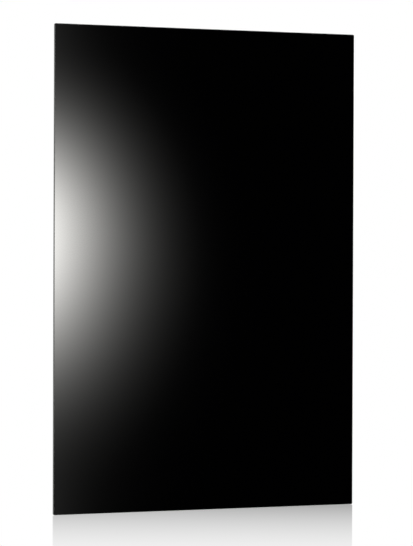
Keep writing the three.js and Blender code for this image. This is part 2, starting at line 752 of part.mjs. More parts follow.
function boxScrews() {
  const lidSeatY = lidOuterY + SEAT;
  const floorSeatY = boxInnerY + SEAT;
  const made = group();
  fourCorners().forEach(([x, z], index) => {
    const geometry = crossHeaded(LID_SCREW, lidSeatY, lidSeatY - LID_SCREW.length);
    const screw = piece(`lid_screw_${index + 1}`, geometry, FINISH.screwSteel);
    screw.position.set(x, 0, z);
    made.add(screw);
  });
  for (const [side, word] of [[-1, "left"], [1, "right"]]) {
    const geometry = crossHeaded(BOX_SCREW, floorSeatY, floorSeatY - BOX_SCREW.length);
    const screw = piece(`box_fixing_screw_${word}`, geometry, FINISH.screwSteel);
    screw.position.set(side * boxScrewX, 0, boxScrewRise);
    made.add(screw);
  }
  return made;
}

function trayGrommet() {
  const innerY = trayInnerY - SEAT;
  const outerY = trayBackY + SEAT;
  const geometry = turned([
    [GROMMET.bore, innerY - GROMMET.flangeThickness],
    [GROMMET.flange, innerY - GROMMET.flangeThickness],
    [GROMMET.flange, innerY],
    [GROMMET.neck, innerY],
    [GROMMET.neck, outerY],
    [GROMMET.flange, outerY],
    [GROMMET.flange, outerY + GROMMET.flangeThickness],
    [GROMMET.bore, outerY + GROMMET.flangeThickness],
    [GROMMET.bore, innerY - GROMMET.flangeThickness],
  ]);
  const grommet = piece("tray_grommet", geometry, FINISH.rubber);
  grommet.position.z = grommetRise;
  return grommet;
}

// ---------------------------------------------------------------------------------------------
// Terminal block and earth stud
// ---------------------------------------------------------------------------------------------

const blockBaseY = boxInnerY + SEAT;
const blockTopY = blockBaseY + BLOCK.depth;
const wireY = blockBaseY + BLOCK.wireRise;

function poleX(index) {
  return (index - (BLOCK.poles - 1) / 2) * BLOCK.pitch;
}

function terminalBlock() {
  const poles = Array.from({ length: BLOCK.poles }, (_, index) => poleX(index));
  const outline = roundedRectangle(BLOCK.poles * BLOCK.pitch, BLOCK.height, BLOCK.corner);
  const body = plate(outline, BLOCK.depth, blockTopY);
  const separators = poles.slice(1).map((x) => {
    const edge = x - BLOCK.pitch / 2;
    const half = SEPARATOR.width / 2;
    return block(
      [edge - half, blockTopY - SEPARATOR.depth, -BLOCK.height],
      [edge + half, blockTopY + OVERRUN, BLOCK.height],
    );
  });
  const wells = poles.map((x) =>
    rod(BLOCK.well, blockTopY - BLOCK.wellDepth, blockTopY + OVERRUN).translate(x, 0, 0),
  );
  const wireHoles = poles.map((x) =>
    column(BLOCK.wireHole, -BLOCK.height, BLOCK.height, 12).translate(x, wireY, 0),
  );
  const geometry = carve(body, { cut: [...separators, ...wells, ...wireHoles] });
  return piece("terminal_block", geometry.translate(0, 0, BLOCK.z), FINISH.blockPlastic);
}

function terminalScrews() {
  const seatY = blockTopY - BLOCK.wellDepth + SEAT;
  const topY = seatY + BLOCK_SCREW.height;
  const slot = block(
    [-BLOCK_SCREW.radius, topY - BLOCK_SCREW.slotDepth, -BLOCK_SCREW.slot / 2],
    [BLOCK_SCREW.radius, topY + OVERRUN, BLOCK_SCREW.slot / 2],
  );
  return group(
    ...Array.from({ length: BLOCK.poles }, (_, index) => {
      const geometry = carve(rod(BLOCK_SCREW.radius, seatY, topY), { cut: [slot] });
      const screw = piece(`terminal_screw_${index + 1}`, geometry, FINISH.brass);
      screw.position.set(poleX(index), 0, BLOCK.z);
      return screw;
    }),
  );
}

function earthPieces() {
  const studTopY = boxFloorY + EARTH.studLength;
  const nutBaseY = ringBaseY + EARTH.ringSheet + SEAT;
  const stud = turned([
    [0, boxFloorY],
    [EARTH.stud, boxFloorY],
    [EARTH.stud, studTopY - EARTH.chamfer],
    [EARTH.stud - EARTH.chamfer, studTopY],
    [0, studTopY],
  ]);
  const hexagon = new THREE.CylinderGeometry(EARTH.nut, EARTH.nut, EARTH.nutHeight, 6);
  hexagon.translate(0, nutBaseY + EARTH.nutHeight / 2, 0);
  const nutBore = rod(EARTH.stud + SEAT, nutBaseY - OVERRUN, nutBaseY + EARTH.nutHeight + OVERRUN);
  const nut = carve(hexagon, { cut: [nutBore] });
  const made = group(
    piece("earth_stud", stud, FINISH.zincPlate),
    piece("earth_nut", nut, FINISH.brass),
  );
  made.position.set(earthX, 0, earthZ);
  return made;
}

// The ring terminal and its lead up to the last pole of the block are one crimped piece.
function earthLead() {
  const ringTopY = ringBaseY + EARTH.ringSheet;
  const wireStartY = ringBaseY + EARTH.ringSheet / 2 + LEAD.radius;
  const barrelZ = earthZ + EARTH.ring + EARTH.barrelPlay;
  const ring = rod(EARTH.ring, ringBaseY, ringTopY).translate(earthX, 0, earthZ);
  const bore = rod(EARTH.stud + SEAT, ringBaseY - OVERRUN, ringTopY + OVERRUN).translate(earthX, 0, earthZ);
  const half = EARTH.barrelWidth / 2;
  const neck = block(
    [earthX - half, ringBaseY, earthZ + EARTH.stud + OVERRUN],
    [earthX + half, ringTopY, barrelZ + OVERRUN],
  );
  const barrel = block(
    [earthX - half, ringBaseY, barrelZ],
    [earthX + half, ringBaseY + EARTH.barrelHeight, barrelZ + EARTH.barrelLength],
  );
  const wire = lead([
    [earthX, wireStartY, barrelZ + EARTH.barrelLength - 2],
    [earthX, wireStartY + 1, barrelZ + EARTH.barrelLength + 4],
    [earthX - 8, wireY + 1, earthZ + 24],
    [poleX(2) + 6, wireY, BLOCK.z + BLOCK.height / 2 + 10],
    [poleX(2), wireY, BLOCK.z + BLOCK.height / 2 + 5],
    [poleX(2), wireY, BLOCK.z + BLOCK.height / 2 + SEAT],
  ]);
  return piece("earth_lead", carve(ring, { join: [neck, barrel, wire], cut: [bore] }), FINISH.leadEarth);
}

// ---------------------------------------------------------------------------------------------
// Cable gland, below the box. Heights are from the middle of the box.
// ---------------------------------------------------------------------------------------------

const glandHex = GLAND.thread + GLAND.nutWall; // across the corners, from the middle
const glandSeal = GLAND.thread - GLAND.sealInset;
const glandCap = GLAND.thread + GLAND.capWall;
const glandHexTopZ = boxBottomZ - SEAT;
const glandHexBottomZ = glandHexTopZ - GLAND.hexHeight;
const glandStubZ = glandHexBottomZ - GLAND.stub;
const capTopZ = glandHexBottomZ - SEAT;
const capBottomZ = capTopZ - GLAND.capLength;

function hexagonal(acrossCorners, fromZ, toZ) {
  const prism = new THREE.CylinderGeometry(acrossCorners, acrossCorners, toZ - fromZ, 6);
  return prism.rotateX(Math.PI / 2).rotateZ(Math.PI / 6).translate(0, 0, (fromZ + toZ) / 2);
}

function cableGland() {
  const threadTopZ = boxBottomZ + BOX.wall + SEAT + GLAND.nutHeight + GLAND.threadPast;
  const body = carve(hexagonal(glandHex, glandHexBottomZ, glandHexTopZ), {
    join: [
      column(GLAND.thread, glandHexTopZ - OVERRUN, threadTopZ),
      column(GLAND.thread, glandStubZ, glandHexBottomZ + OVERRUN),
    ],
    cut: [
      column(GLAND.bore, glandStubZ - OVERRUN, threadTopZ + OVERRUN),
      column(glandSeal + SEAT, glandStubZ - OVERRUN, glandHexBottomZ),
    ],
  });
  const nutBaseZ = boxBottomZ + BOX.wall + SEAT;
  const locknut = carve(hexagonal(glandHex, nutBaseZ, nutBaseZ + GLAND.nutHeight), {
    cut: [column(GLAND.thread + SEAT, nutBaseZ - OVERRUN, nutBaseZ + GLAND.nutHeight + OVERRUN)],
  });
  const sealTopZ = glandHexBottomZ - SEAT;
  const sealBottomZ = capBottomZ + GLAND.capFloor + SEAT;
  const seal = turnedUpright([
    [GLAND.bore, sealBottomZ],
    [glandSeal - 0.8, sealBottomZ],
    [glandSeal, sealBottomZ + 2],
    [glandSeal, sealTopZ],
    [GLAND.bore, sealTopZ],
    [GLAND.bore, sealBottomZ],
  ]);
  const capHexZ = capTopZ - 0.5 * GLAND.capLength;
  const cap = carve(hexagonal(glandHex, capHexZ, capTopZ), {
    join: [
      turnedUpright([
        [0, capBottomZ],
        [glandCap - GLAND.capTaper - GLAND.capRound, capBottomZ],
        [glandCap - GLAND.capTaper, capBottomZ + GLAND.capRound],
        [glandCap - GLAND.capShoulder, capHexZ + GLAND.capLap],
        [0, capHexZ + GLAND.capLap],
      ]),
    ],
    cut: [
      column(GLAND.bore, capBottomZ - OVERRUN, capTopZ + OVERRUN),
      column(glandSeal + SEAT, capBottomZ + GLAND.capFloor, capTopZ),
      column(GLAND.thread + SEAT, glandStubZ - SEAT, capTopZ + OVERRUN),
    ],
  });
  const made = group(
    piece("gland_body", body, FINISH.glandPlastic),
    piece("gland_locknut", locknut, FINISH.glandPlastic),
    piece("gland_seal", seal, FINISH.rubber),
    piece("gland_cap", cap, FINISH.glandPlastic),
  );
  made.position.y = glandY;
  return made;
}

function junctionAssembly() {
  const made = group(
    junctionBox(),
    junctionBoxLid(),
    boxScrews(),
    trayGrommet(),
    terminalBlock(),
    terminalScrews(),
    earthPieces(),
    earthLead(),
    cableGland(),
  );
  made.position.z = boxZ;
  return made;
}

// ---------------------------------------------------------------------------------------------
// Feed: conductor tabs, thermal limiters and internal leads, in the panel's frame
// ---------------------------------------------------------------------------------------------

const feedZ = -(layerHeight / 2 - CONDUCTOR.edge);
const tabRiserY = leadY + LEAD.radius; // where a tab's riser ends

// An L-shaped tab soldered to the end of the conductor; the lead meets the outside of its riser.
function elementTab(side) {
  const footY = conductorY + SEAT;
  const riserX = side * TAB.x;
  const footEnd = riserX + side * TAB.length;
  const foot = block(
    [riserX, footY, feedZ - TAB.width / 2],
    [footEnd, footY + TAB.sheet, feedZ + TAB.width / 2],
  );
  const riserEnd = riserX + side * TAB.sheet;
  const riser = block(
    [riserX, footY, feedZ - TAB.width / 2],
    [riserEnd, tabRiserY, feedZ + TAB.width / 2],
  );
  return carve(foot, { join: [riser] });
}

function thermalLimiter() {
  const flangeY = matFrontY + LIMITER.flangeRise; // the sensing face lies on the foil, like the mat
  const housing = turned([
    [0, matFrontY],
    [LIMITER.radius, matFrontY],
    [LIMITER.radius, flangeY],
    [LIMITER.flange, flangeY],
    [LIMITER.flange, flangeY + LIMITER.flangeHeight],
    [LIMITER.body, flangeY + LIMITER.flangeHeight],
    [LIMITER.body, limiterTopY],
    [0, limiterTopY],
  ]);
  const blades = [-1, 1].map((side) => {
    const x = side * LIMITER.bladeX;
    return block(
      [x - LIMITER.blade / 2, limiterTopY - OVERRUN, -LIMITER.bladeWidth / 2],
      [x + LIMITER.blade / 2, leadY + LEAD.radius, LIMITER.bladeWidth / 2],
    );
  });
  return carve(housing, { join: blades });
}

function limiters() {
  return group(
    ...LIMITER.z.map((z, index) => {
      const name = ["thermal_limiter_lower", "thermal_limiter_upper"][index];
      const limiter = piece(name, thermalLimiter(), FINISH.limiterPlastic);
      limiter.position.set(LIMITER.x, 0, z);
      return limiter;
    }),
  );
}

function internalLeads() {
  const [lowerZ, upperZ] = LIMITER.z;
  const bladeOut = LIMITER.bladeX + LIMITER.blade / 2 + SEAT;
  const rightX = LIMITER.x + bladeOut;
  const leftX = LIMITER.x - bladeOut;
  const tabX = TAB.x + TAB.sheet + SEAT;
  const grommetZ = boxZ + grommetRise;
  const blockTopZ = boxZ + BLOCK.z + BLOCK.height / 2;
  const throughGrommet = (side, pole) => [
    [side * LEAD.pairHalf, leadY, grommetZ - 1],
    [side * LEAD.pairHalf, trayBackY - 0.5, grommetZ + 0.5],
    [side * LEAD.pairHalf, wireY - 3, grommetZ + 1],
    [(side * LEAD.pairHalf + poleX(pole)) / 2, wireY, grommetZ - 1],
    [poleX(pole), wireY, blockTopZ + 3.5],
    [poleX(pole), wireY, blockTopZ + SEAT],
  ];
  const innerX = LIMITER.x + 30;
  const outerX = LIMITER.x - 50;
  const liveIn = [
    [rightX, leadY, lowerZ],
    [rightX + 8, leadY, lowerZ],
    [innerX, leadY, lowerZ - 20],
    [innerX, leadY, (lowerZ + grommetZ) / 2],
    [innerX, leadY, grommetZ + 30],
    [innerX + 25, leadY, grommetZ + 6],
    [-20, leadY, grommetZ],
    ...throughGrommet(-1, 0),
  ];
  const link = [
    [leftX, leadY, lowerZ],
    [leftX - 8, leadY, lowerZ],
    [leftX - 16, leadY, lowerZ + 24],
    [leftX - 10, leadY, (lowerZ + upperZ) / 2],
    [rightX + 6, leadY, upperZ - 40],
    [rightX + 18, leadY, upperZ - 12],
    [rightX + 8, leadY, upperZ],
    [rightX, leadY, upperZ],
  ];
  const liveOut = [
    [leftX, leadY, upperZ],
    [leftX - 12, leadY, upperZ],
    [outerX, leadY, upperZ - 30],
    [outerX, leadY, (upperZ + feedZ) / 2],
    [outerX, leadY, feedZ + 40],
    [outerX + 30, leadY, feedZ + 6],
    [-tabX - 20, leadY, feedZ],
    [-tabX, leadY, feedZ],
  ];
  const neutral = [
    [tabX, leadY, feedZ],
    [tabX + 8, leadY, feedZ + 1],
    [tabX + 12, leadY, (feedZ + grommetZ) / 2],
    [tabX + 4, leadY, grommetZ - 3],
    ...throughGrommet(1, 1),
  ];
  return group(
    piece("lead_live_in", lead(liveIn), FINISH.leadBrown),
    piece("lead_link", lead(link), FINISH.leadBrown),
    piece("lead_live_out", lead(liveOut), FINISH.leadBrown),
    piece("lead_neutral", lead(neutral), FINISH.leadBlue),
  );
}

// ---------------------------------------------------------------------------------------------
// The whole heater
// ---------------------------------------------------------------------------------------------

const panel = group(
  glassFront(),
  adhesiveBead(),
  laminate(),
  rearTray(),
  piece("element_tab_left", elementTab(-1), FINISH.brass),
  piece("element_tab_right", elementTab(1), FINISH.brass),
  limiters(),
  internalLeads(),
  junctionAssembly(),
  cleats(),
  rivets(),
  bumpers(),
  locks(),
);

const heater = group(panel, wallRails());
for (const assembly of heater.children) assembly.position.z = -upperRailZ;

export default heater;
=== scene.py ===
"""Looks of the wall-hung infrared panel heater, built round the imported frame.

Metres, in the frame of the CAD model: the wall is y = 0, the room is on the -Y side and +Z is up.
"""

import json
import math
from types import SimpleNamespace as Sizes

import bmesh
import bpy
from mathutils import Matrix, Vector
from mathutils.geometry import tessellate_polygon


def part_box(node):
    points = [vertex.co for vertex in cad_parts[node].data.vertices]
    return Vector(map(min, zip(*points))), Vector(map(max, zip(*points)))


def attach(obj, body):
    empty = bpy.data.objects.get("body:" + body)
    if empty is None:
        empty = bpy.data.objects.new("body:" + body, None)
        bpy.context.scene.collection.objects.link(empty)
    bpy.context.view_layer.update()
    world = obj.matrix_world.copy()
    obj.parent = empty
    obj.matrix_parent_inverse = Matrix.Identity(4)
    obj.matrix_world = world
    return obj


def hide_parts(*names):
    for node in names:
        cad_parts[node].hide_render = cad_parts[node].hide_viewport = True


MM = 0.001
SEAT = 0.3  # millimetres left between pieces that touch
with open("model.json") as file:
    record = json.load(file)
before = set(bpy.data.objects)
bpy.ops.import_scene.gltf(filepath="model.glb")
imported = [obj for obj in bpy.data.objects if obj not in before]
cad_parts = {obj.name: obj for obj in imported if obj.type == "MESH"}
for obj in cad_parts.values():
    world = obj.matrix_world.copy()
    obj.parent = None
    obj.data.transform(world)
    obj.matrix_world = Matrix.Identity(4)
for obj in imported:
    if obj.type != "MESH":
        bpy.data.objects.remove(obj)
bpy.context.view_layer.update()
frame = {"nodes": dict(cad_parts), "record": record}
nodes = frame["nodes"]
record = frame["record"]
scene = bpy.context.scene

# ---- Camera: the photograph's view. The focal length is for a picture 546 pixels high.

FOCAL_PX = 2411.66
FRAME_WIDTH_PX, FRAME_HEIGHT_PX = 413.0, 546.0
SENSOR = 36.0
CAMERA_PLACE = Vector((-1.6254, -4.2624, -0.2782))
YAW, PITCH, ROLL = math.radians(21.074), math.radians(-0.487), math.radians(0.197)

forward = Vector((math.sin(YAW) * math.cos(PITCH), math.cos(YAW) * math.cos(PITCH), math.sin(PITCH)))
level_right = Vector((math.cos(YAW), -math.sin(YAW), 0.0))
level_up = level_right.cross(forward)
right = level_right * math.cos(ROLL) + level_up * math.sin(ROLL)
up = level_up * math.cos(ROLL) - level_right * math.sin(ROLL)

camera_data = bpy.data.cameras.new("photo_camera")
camera_data.sensor_width = SENSOR
camera_data.lens = FOCAL_PX * SENSOR / FRAME_HEIGHT_PX
camera_data.clip_start, camera_data.clip_end = 0.05, 200.0
camera = bpy.data.objects.new("photo_camera", camera_data)
camera.matrix_world = Matrix.Translation(CAMERA_PLACE) @ Matrix((right, up, -forward)).transposed().to_4x4()
scene.collection.objects.link(camera)
scene.camera = camera

# ---- Node trees


class Tree:
    """Shorthand for building a shader node tree. A value is a number, a tuple or a socket."""

    def __init__(self, tree):
        self.tree = tree

    def node(self, kind, **settings):
        made = self.tree.nodes.new(kind)
        for key, value in settings.items():
            setattr(made, key, value)
        return made

    def feed(self, socket, value):
        if isinstance(value, bpy.types.NodeSocket):
            self.tree.links.new(value, socket)
        else:
            socket.default_value = value

    def math(self, operation, *values, clamp=False):
        made = self.node("ShaderNodeMath", operation=operation, use_clamp=clamp)
        for socket, value in zip(made.inputs, values):
            self.feed(socket, value)
        return made.outputs[0]

    def times(self, a, b):
        return self.math("MULTIPLY", a, b)

    def plus(self, a, b):
        return self.math("ADD", a, b)

    def minus(self, a, b):
        return self.math("SUBTRACT", a, b)

    def length(self, a, b):
        """The length of a flat vector."""
        return self.math("SQRT", self.plus(self.times(a, a), self.times(b, b)))

    def vector(self, operation, *values):
        made = self.node("ShaderNodeVectorMath", operation=operation)
        for socket, value in zip(made.inputs, values):
            self.feed(socket, value)
        return made.outputs["Value" if operation == "DOT_PRODUCT" else "Vector"]

    def split(self, vector):
        made = self.node("ShaderNodeSeparateXYZ")
        self.feed(made.inputs[0], vector)
        return made.outputs

    def ramp(self, value, low, high, to_low=0.0, to_high=1.0, smooth=False):
        made = self.node("ShaderNodeMapRange", interpolation_type="SMOOTHSTEP" if smooth else "LINEAR")
        for socket, part in zip(made.inputs, (value, low, high, to_low, to_high)):
            self.feed(socket, part)
        return made.outputs[0]

    def mix(self, factor, a, b, blend="MIX"):
        made = self.node("ShaderNodeMix", data_type="RGBA", blend_type=blend)
        self.feed(made.inputs["Factor"], factor)
        self.feed(made.inputs[6], a)
        self.feed(made.inputs[7], b)
        return made.outputs[2]

    def coordinates(self, stretch=(1.0, 1.0, 1.0)):
        place = self.node("ShaderNodeTexCoord").outputs["Object"]
        return place if stretch == (1.0, 1.0, 1.0) else self.vector("MULTIPLY", place, stretch)

    def noise(self, place, scale, detail=2.0, roughness=0.5, distortion=0.0):
        made = self.node("ShaderNodeTexNoise")
        self.feed(made.inputs["Vector"], place)
        for key, value in (("Scale", scale), ("Detail", detail), ("Roughness", roughness)):
            made.inputs[key].default_value = value
        made.inputs["Distortion"].default_value = distortion
        return made.outputs["Fac"]

    def voronoi(self, place, scale, feature="F1", output="Distance"):
        made = self.node("ShaderNodeTexVoronoi", feature=feature)
        self.feed(made.inputs["Vector"], place)
        made.inputs["Scale"].default_value = scale
        return made.outputs[output]

    def bump(self, height, depth, strength=1.0):
        made = self.node("ShaderNodeBump")
        made.inputs["Strength"].default_value = strength
        made.inputs["Distance"].default_value = depth
        self.feed(made.inputs["Height"], height)
        return made.outputs[0]


def grey(value):
    return (value, value, value, 1.0)


def rgb(*values):
    return (*values, 1.0)


# ---- World: white for the camera, a soft studio for the finishes, and a dark room with one soft
# glow in front of the glass, as the photograph has it

GLASS_REFLECTANCE = 0.0435

# The glow's middle, spread and edge are in pixels of the photograph, and it is faded out at its ends, which
# are in spreads.
GLOW = Sizes(
    peak=1.5131, centre=(-4.17, 237.29), spread=(78.55, 96.91), power=1.916, ends=(4.0, 8.0),
    edge_centre=(-30.1, 450.0), edge_radius=469.1, edge_width=222.4,
)
HAZE = Sizes(peak=0.0098, start=57.8, fall=29.2)
GLOW_TINT = (1.0, 0.99, 0.96, 1.0)
AHEAD = (0.05, 0.3)  # cosine to the mirrored heading, over which the glow fades in

# The same kind of glow, repeated around the heater for the other views. Azimuths are in degrees from the
# -Y axis towards +X, and none comes near what the glass shows in the photograph's view, which is 16 to 26.
ROUND_GLOW = Sizes(
    every=15.0, first=-4.5, half=5.2, every_height=0.26, half_height=0.12, strength=15.0, clear_middle=21.0,
    clear_half=13.0, clear_edge=3.0,
)
FLOOR_GLOW = (-0.17, -0.62, 0.0, 1.0)  # a ramp over the height, written as the studio's are

# The studio behind the heater. Each ramp is low, high, value at low and value at high.
STUDIO = Sizes(
    low=(-0.5, 0.05, 0.25, 0.95), band_height=0.34, band=(0.0, 0.3, 0.45, 1.0),
    side=(-0.9, 0.9, 1.25, 0.35), behind=(-0.05, 0.25), diffuse=(-1.0, 1.0, 0.35, 0.85),
)


def mirrored(direction):
    """The direction after a reflection in the glass."""
    return (direction.x, -direction.y, direction.z)


def glow_strength(t, direction):
    """The soft light that the glass reflects, laid out in the photograph's pixels."""
    ahead = t.vector("DOT_PRODUCT", direction, mirrored(forward))
    safe = t.math("MAXIMUM", ahead, AHEAD[0])
    across = t.math("DIVIDE", t.vector("DOT_PRODUCT", direction, mirrored(right)), safe)
    above = t.math("DIVIDE", t.vector("DOT_PRODUCT", direction, mirrored(up)), safe)
    x = t.math("MULTIPLY_ADD", across, FOCAL_PX, FRAME_WIDTH_PX / 2)
    y = t.math("MULTIPLY_ADD", above, -FOCAL_PX, FRAME_HEIGHT_PX / 2)

    def span(centre, spread):
        return t.length(t.math("DIVIDE", t.minus(x, centre[0]), spread[0]),
                        t.math("DIVIDE", t.minus(y, centre[1]), spread[1]))

    radius = span(GLOW.centre, GLOW.spread)
    blob = t.math("EXPONENT", t.times(t.math("POWER", radius, GLOW.power), -1.0))
    edge = span(GLOW.edge_centre, (1.0, 1.0))
    inside = t.ramp(edge, GLOW.edge_radius, GLOW.edge_radius - GLOW.edge_width, smooth=True)
    fall = t.math("DIVIDE", t.minus(HAZE.start, x), HAZE.fall)
    haze = t.times(t.math("EXPONENT", t.math("MINIMUM", fall, 0.0)), HAZE.peak)
    near = t.ramp(radius, *GLOW.ends, 1.0, 0.0, smooth=True)
    total = t.plus(t.times(t.times(blob, inside), GLOW.peak), haze)
    total = t.times(t.times(total, near), t.ramp(ahead, *AHEAD, smooth=True))
    return t.math("DIVIDE", total, GLASS_REFLECTANCE)


def other_light(t, direction):
    """What the glass shows in other views only: round glows, and the pale floor further down."""
    x, y, height = t.split(direction)
    around = t.times(t.math("ARCTAN2", x, t.times(y, -1.0)), math.degrees(1.0))

    def from_nearest(value, first, every):
        return t.minus(t.math("FLOORED_MODULO", t.minus(value, first - every / 2), every), every / 2)

    across = from_nearest(around, ROUND_GLOW.first, ROUND_GLOW.every)
    above = from_nearest(height, 0.0, ROUND_GLOW.every_height)
    radius = t.length(t.math("DIVIDE", across, ROUND_GLOW.half),
                      t.math("DIVIDE", above, ROUND_GLOW.half_height))
    glow = t.times(t.ramp(radius, 1.0, 0.0, smooth=True), ROUND_GLOW.strength)
    from_clear = t.math("ABSOLUTE", t.minus(around, ROUND_GLOW.clear_middle))
    edge = ROUND_GLOW.clear_half
    outside = t.ramp(from_clear, edge, edge + ROUND_GLOW.clear_edge, smooth=True)
    total = t.plus(t.times(glow, outside), t.ramp(height, *FLOOR_GLOW, smooth=True))
    return t.times(total, t.ramp(y, 0.0, -0.25, smooth=True))


def make_world():
    world = bpy.data.worlds.new("studio")
    scene.world = world
    world.use_nodes = True
    world.node_tree.nodes.clear()
    t = Tree(world.node_tree)
    direction = t.node("ShaderNodeTexCoord").outputs["Generated"]
    across, toward_wall, height = t.split(direction)
    path = t.node("ShaderNodeLightPath").outputs

    # Behind the heater: bright low down and overhead, with a darker band between, and brighter on one side.
    low = t.ramp(height, *STUDIO.low, smooth=True)
    band = t.ramp(t.math("ABSOLUTE", t.minus(height, STUDIO.band_height)), *STUDIO.band, smooth=True)
    side = t.ramp(across, *STUDIO.side, smooth=True)
    behind = t.ramp(toward_wall, *STUDIO.behind, smooth=True)
    in_front = t.plus(glow_strength(t, direction), other_light(t, direction))
    reflected = t.plus(t.times(t.times(t.times(low, band), side), behind), in_front)

    # A ray that leaves the floor upwards crosses the marker sheet above it and finds white.
    crossed = t.math("GREATER_THAN", path["Transparent Depth"], 0.5)
    from_floor = t.times(crossed, t.math("GREATER_THAN", height, 0.0))
    glossy = t.mix(from_floor, t.mix(1.0, reflected, GLOW_TINT, "MULTIPLY"), grey(1.0))
    shade = t.mix(path["Is Glossy Ray"], t.ramp(height, *STUDIO.diffuse), glossy)
    seen = t.mix(path["Is Camera Ray"], shade, grey(1.0))

    background = t.node("ShaderNodeBackground")
    t.feed(background.inputs["Color"], seen)
    output = t.node("ShaderNodeOutputWorld")
    t.feed(output.inputs["Surface"], background.outputs[0])


def area_light(name, place, target, size, power):
    data = bpy.data.lights.new(name, "AREA")
    data.shape, data.size, data.size_y = "RECTANGLE", *size
    data.energy = power
    light = bpy.data.objects.new(name, data)
    light.location = place
    light.rotation_mode = "QUATERNION"
    light.rotation_quaternion = (Vector(target) - Vector(place)).to_track_quat("-Z", "Y")
    light.visible_camera = False
    scene.collection.objects.link(light)


make_world()
area_light("key", (-2.1, 1.9, 1.5), (0.0, 0.0, -0.25), (1.3, 1.3), 95.0)
area_light("low_fill", (2.4, 2.0, -0.2), (0.0, 0.0, -0.4), (0.5, 1.6), 28.0)
area_light("top", (0.2, 0.7, 2.2), (0.0, 0.0, 0.0), (1.6, 0.6), 35.0)
scene.view_settings.view_transform = "Standard"
scene.view_settings.look = "None"

# ---- Floor: pale and glossy, with a reflection that fades away from the heater

FLOOR_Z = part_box("glass_front")[0].z - SEAT * MM
FLOOR_HALF = 40.0
FLOOR_ROUGHNESS = 0.03
MARKER_RISE = 0.2 * MM
FADE_LENGTH = 0.627
FADE_FROM = 4.589  # distance from the camera, along its heading, where the fade starts
FADE = (0.60, -0.62, 0.165)  # the mirror's share: where the fade starts, its slope and its curve


def sheet_object(name, height, material):
    corners = [(-1, -1), (1, -1), (1, 1), (-1, 1)]
    mesh = bpy.data.meshes.new(name)
    mesh.from_pydata([(FLOOR_HALF * x, FLOOR_HALF * y, height) for x, y in corners], [], [(0, 1, 2, 3)])
    made = bpy.data.objects.new(name, mesh)
    mesh.materials.append(material)
    scene.collection.objects.link(made)
    return made


def empty_material(name):
    material = bpy.data.materials.new(name)
    material.use_nodes = True
    material.node_tree.nodes.clear()
    t = Tree(material.node_tree)
    return material, t, t.node("ShaderNodeOutputMaterial").inputs["Surface"]


def floor_material():
    """White that mirrors the heater, less and less away from it, towards the camera and behind the wall."""
    material, t, surface = empty_material("pale_floor")
    place = t.node("ShaderNodeTexCoord").outputs["Object"]
    heading = Vector((math.sin(YAW), math.cos(YAW), 0.0))
    along = t.minus(t.vector("DOT_PRODUCT", place, heading), CAMERA_PLACE.dot(heading))
    in_front = t.math("DIVIDE", t.minus(FADE_FROM, along), FADE_LENGTH)
    y = t.split(place)["Y"]
    at_back = t.math("DIVIDE", y, FADE_LENGTH)
    pick = t.math("GREATER_THAN", y, 0.0)
    s = t.plus(t.times(in_front, t.minus(1.0, pick)), t.times(at_back, pick))
    s = t.math("MINIMUM", t.math("MAXIMUM", s, 0.0), -FADE[1] / (2 * FADE[2]))
    share = t.math("ADD", FADE[0], t.times(s, t.math("MULTIPLY_ADD", s, FADE[2], FADE[1])), clamp=True)
    mirror = t.node("ShaderNodeBsdfAnisotropic")
    mirror.inputs["Color"].default_value = grey(1.0)
    mirror.inputs["Roughness"].default_value = FLOOR_ROUGHNESS
    mix = t.node("ShaderNodeMixShader")
    t.feed(mix.inputs[0], share)
    t.feed(mix.inputs[1], t.node("ShaderNodeEmission").outputs[0])
    t.feed(mix.inputs[2], mirror.outputs[0])
    t.feed(surface, mix.outputs[0])
    return material


def marker_material():
    material, t, surface = empty_material("clear_marker")
    t.feed(surface, t.node("ShaderNodeBsdfTransparent").outputs[0])
    return material


floor = sheet_object("floor", FLOOR_Z, floor_material())
floor.visible_glossy = False
marker = sheet_object("floor_marker", FLOOR_Z + MARKER_RISE, marker_material())
for kind in ("camera", "diffuse", "transmission", "volume_scatter", "shadow"):
    setattr(marker, f"visible_{kind}", False)

# ---- Finishes


class Finish(Tree):
    """A material, its node tree and its shader's inputs."""

    def __init__(self, name, metallic=0.0, ior=1.5):
        self.material = bpy.data.materials.new(name)
        self.material.use_nodes = True
        super().__init__(self.material.node_tree)
        self.inputs = self.tree.nodes["Principled BSDF"].inputs
        self.inputs["Metallic"].default_value = metallic
        self.inputs["IOR"].default_value = ior

    def tone(self, colour, mottle=0.1, scale=16.0):
        """A base colour that drifts lighter and darker by a share."""
        patches = self.noise(self.coordinates(), scale, 4.0, 0.6)
        drift = self.ramp(patches, 0.3, 0.7, 1.0 - mottle, 1.0 + mottle)
        self.feed(self.inputs["Base Color"], self.mix(1.0, rgb(*colour), drift, "MULTIPLY"))

    def overlay(self, factor, colour, blend="MIX"):
        """Mixes another colour into the base colour."""
        base = self.inputs["Base Color"].links[0].from_socket
        self.feed(self.inputs["Base Color"], self.mix(factor, base, colour, blend))

    def gloss(self, roughness, spread=0.15):
        """A roughness that drifts up and down by a share."""
        patches = self.noise(self.coordinates(), 45.0, 3.0, 0.6)
        drift = self.ramp(patches, 0.3, 0.7, roughness * (1.0 - spread), roughness * (1.0 + spread))
        self.feed(self.inputs["Roughness"], drift)

    def relief(self, height, depth, strength=1.0):
        self.feed(self.inputs["Normal"], self.bump(height, depth, strength))

    def grain(self, scale=900.0, depth=0.01 * MM):
        self.relief(self.noise(self.coordinates(), scale, 3.0, 0.6), depth)


def plain(name, colour, roughness, metallic=0.0, mottle=0.1, spread=0.15, grain=900.0):
    """A finish with drifting tone and gloss and a fine grain, returned whole so that more can be added."""
    t = Finish(name, metallic)
    t.tone(colour, mottle)
    t.gloss(roughness, spread)
    t.grain(grain)
    return t


